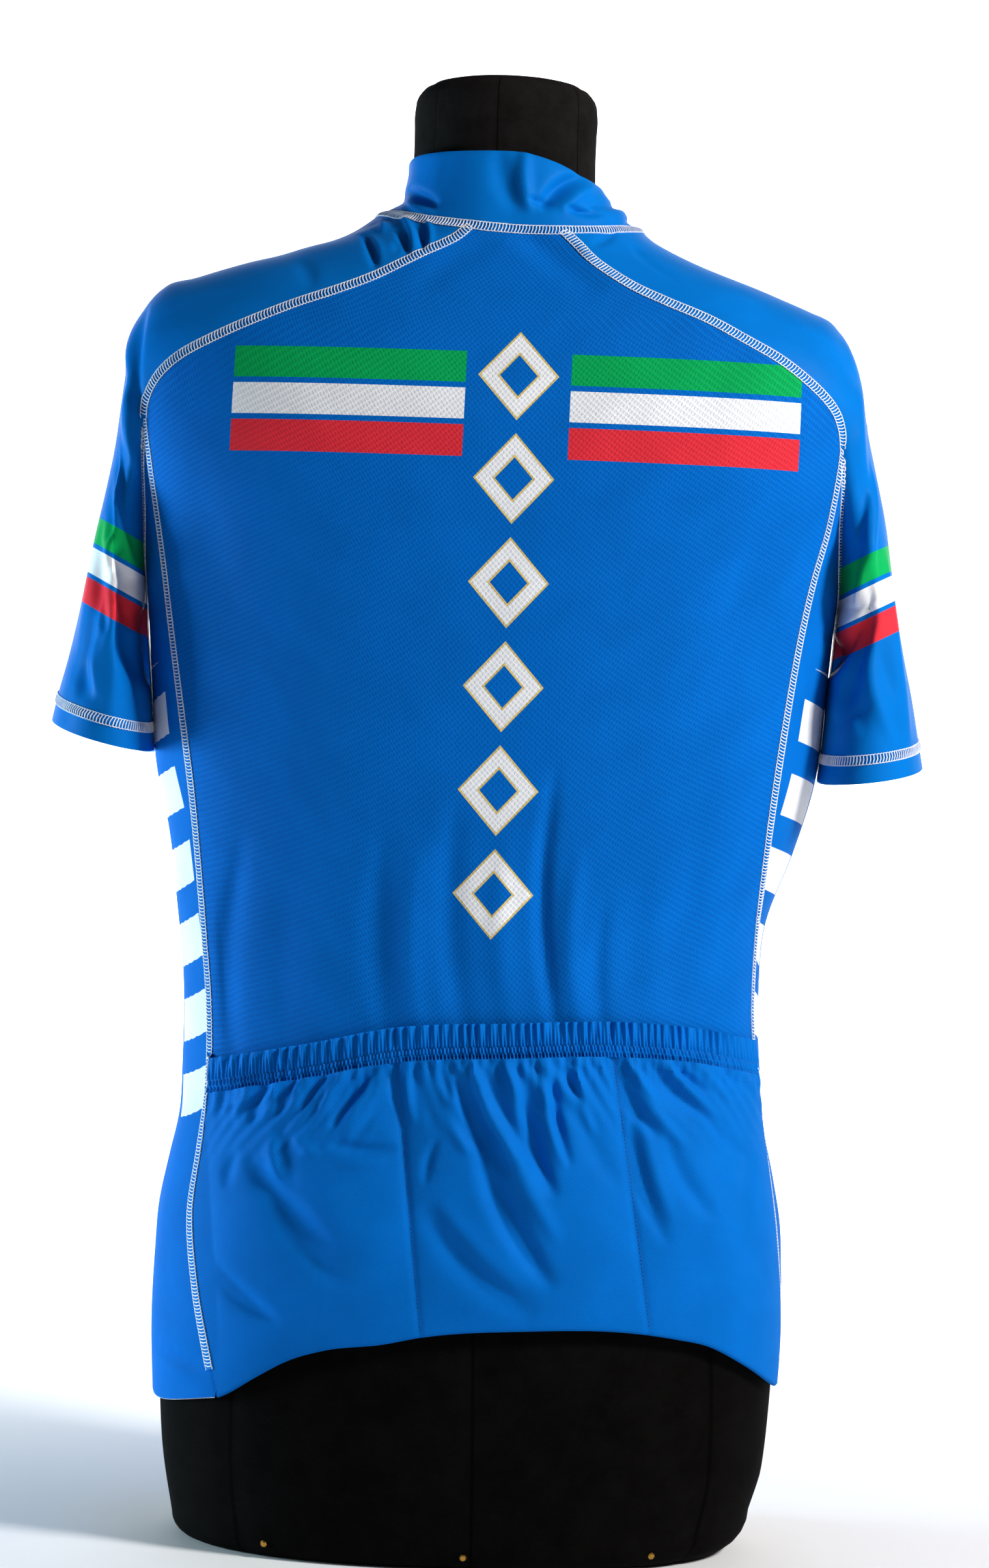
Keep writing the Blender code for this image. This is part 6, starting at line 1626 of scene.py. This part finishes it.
pocket_away = from_body(pocket_grid)
sewn = []
for number in (0, 1):
    line, ways = [], []
    for row, way in zip(pocket_grid[:-4], pocket_away[:-4]):
        x = divider_x(number, row[:, 2].mean())
        line.append([np.interp(x, row[:, 0], row[:, axis]) for axis in range(3)])
        ways.append([np.interp(x, row[:, 0], way[:, axis]) for axis in range(3)])
    sewn += dashes(np.array(line), np.array(ways), *DIVIDER_STITCH)
band_away = from_body(band_grid)
for row in ELASTIC_ROWS:
    sewn += dashes(band_grid[row], band_away[row], *ELASTIC_STITCH)
for x_sewn in BAND_STITCHES:
    at = np.abs(band_grid[4, :, 0] - x_sewn).argmin()
    sewn += dashes(band_grid[:9, at], band_away[:9, at], *DIVIDER_STITCH)
add_threads("pocket_stitches", sewn, thread_blue)


# Zip.  Two woven tapes carry moulded teeth that close over the middle, and the tapes go on up
# the collar.  It sits just behind the fronts' edges.
TAPE_HALF_WIDTH = 0.0120
TAPE_THICKNESS = 0.0005
TOOTH = (0.0026, 0.0017, 0.0010)       # across, through and along the zip
TOOTH_PITCH = 0.0024
TAPE_FROM_MIDDLE = 0.0004
TAPE_SINK, TEETH_SINK = 0.0004, 0.0001         # below the inner face of the cloth
COLLAR_TAPE_HALF_WIDTH = 0.0098                # narrower, to clear the neck of the form

# Flat dull blue with slanting ribs of the weave.
tape_cloth, tree, shader = new_material("woven_zip_tape", roughness=0.7, specular_ior_level=0.2)
ribs = add_node(tree, "ShaderNodeTexWave", {"bands_direction": "DIAGONAL"}, {
    "Vector": cloth_place(tree), "Scale": 200.0, "Distortion": 0.3})
shade = two_tone(tree, ribs.outputs["Fac"], (0.0, "#03479A"), (1.0, "#055CB6"))
tree.links.new(shade, shader.inputs["Base Color"])
add_bump(tree, shader, ribs.outputs["Fac"], 0.5, 0.0002)

# Blue resin, smooth enough to glint along the row of teeth.
resin, tree, shader = new_material("moulded_resin", roughness=0.35, specular_ior_level=0.45)
flow = add_node(tree, "ShaderNodeTexNoise", {}, {"Vector": object_place(tree), "Scale": 420.0})
shade = two_tone(tree, flow.outputs["Fac"], (0.0, "#0550A8"), (1.0, "#0A62C0"))
tree.links.new(shade, shader.inputs["Base Color"])


def teeth(name, spots, ups, outs):
    """A row of teeth along a line, turn about from the left and the right tape."""
    wide, deep, tall = TOOTH
    verts, faces = [], []
    for number, (spot, up, out) in enumerate(zip(spots, ups, outs)):
        hand = 1.0 if number % 2 == 0 else -1.0
        aside = np.cross(up, out) * hand
        first = len(verts)
        for rise, shrink in ((-0.5, 1.0), (0.25, 1.0), (0.5, 0.62)):
            for a, b in ((-0.15, -0.5), (0.85, -0.5), (0.85, 0.5), (-0.15, 0.5)):
                middle = 0.35
                verts.append(spot + aside * (middle + (a - middle) * shrink) * wide
                             + up * b * shrink * tall + out * rise * deep)
        for ring in (0, 4):
            for i in range(4):
                j = (i + 1) % 4
                quad = (first + ring + i, first + ring + j, first + ring + 4 + j,
                        first + ring + 4 + i)
                faces.append(quad if hand > 0 else quad[::-1])
        ends = [tuple(first + i for i in (3, 2, 1, 0)), tuple(first + 8 + i for i in range(4))]
        faces += ends if hand > 0 else [end[::-1] for end in ends]
    piece = add_piece(name, verts, faces, resin)
    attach(piece, "garment_on_form")
    return piece


def front_zip(z, across, sink):
    """Points beside the zip's middle, sunk below the fronts' outer face."""
    points = on_section(jersey, zip_x(z) + across, z, FRONT)
    return points - from_body(points) * sink


zip_heights = np.linspace(NECKLINE[0][2] - 0.004, HEM_AT_ZIP + 0.001, 160)[:, None]
for side, word in SIDES:
    across = side * np.linspace(TAPE_FROM_MIDDLE, TAPE_HALF_WIDTH, 6)[None, :]
    grid = front_zip(zip_heights, across, CLOTH + TAPE_SINK)
    tape = cloth_piece("zip_tape_cloth_" + word, grid, tape_cloth, thickness=TAPE_THICKNESS,
                       turn=-side)
    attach(tape, "garment_on_form")
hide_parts("zip_tape")
line = evenly(front_zip(zip_heights[:, 0], 0.0, CLOTH + TEETH_SINK), TOOTH_PITCH / 2)
teeth("zip_teeth_body", line, unit(-np.gradient(line, axis=0)), from_body(line))

collar_low = np.array([0.0, NECKLINE[0][1], NECKLINE[0][2]])
collar_high = np.array([0.0, COLLAR_TOP[0][1], COLLAR_TOP[0][2]])
collar_up = unit(collar_high - collar_low)
collar_out = np.cross(np.array([1.0, 0.0, 0.0]), collar_up)
for side, word in SIDES:
    steps = np.linspace(0.985, 0.06, 24)[:, None, None]
    across = np.linspace(TAPE_FROM_MIDDLE, COLLAR_TAPE_HALF_WIDTH, 6)[None, :, None]
    # The tapes bend back round the neck beyond the teeth.
    bend = 0.0010 * np.clip((across - 0.0028) / 0.0072, 0.0, 1.0)
    grid = (collar_low + (collar_high - collar_low) * steps
            - collar_out * (COLLAR_CLOTH + TAPE_SINK)
            + across * np.array([side, 0.0, 0.0]) + bend * np.array([0.0, 1.0, 0.0]))
    tape = cloth_piece("collar_zip_tape_" + word, grid, tape_cloth, thickness=TAPE_THICKNESS,
                       turn=-side)
    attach(tape, "garment_on_form")
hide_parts("zip_tape_collar")
line = evenly(collar_low + (collar_high - collar_low) * np.linspace(0.07, 0.93, 40)[:, None],
              TOOTH_PITCH / 2) - collar_out * (COLLAR_CLOTH + TEETH_SINK)
teeth("zip_teeth_collar", line, np.tile(collar_up, (len(line), 1)),
      np.tile(collar_out, (len(line), 1)))


# Slider and pull tab.  Die-cast zinc with a satin nickel skin.  The tab hangs from the
# slider's bridge and turns on it.
# Soft grey metal whose gleam breaks up in small patches, as on tumbled castings.
nickel, tree, shader = new_material("satin_nickel", metallic=1.0)
tumbled = add_node(tree, "ShaderNodeTexNoise", {}, {"Vector": object_place(tree), "Scale": 900.0,
                                                    "Detail": 3.0})
shade = two_tone(tree, tumbled.outputs["Fac"], (0.0, "#A9ABAE"), (1.0, "#C9CBCD"))
gloss = add_node(tree, "ShaderNodeMapRange", {}, {"Value": tumbled.outputs["Fac"], "To Min": 0.24,
                                                  "To Max": 0.42})
tree.links.new(shade, shader.inputs["Base Color"])
tree.links.new(gloss.outputs["Result"], shader.inputs["Roughness"])
for name in ("zip_slider", "zip_pull_tab"):
    paint_node(name, nickel)
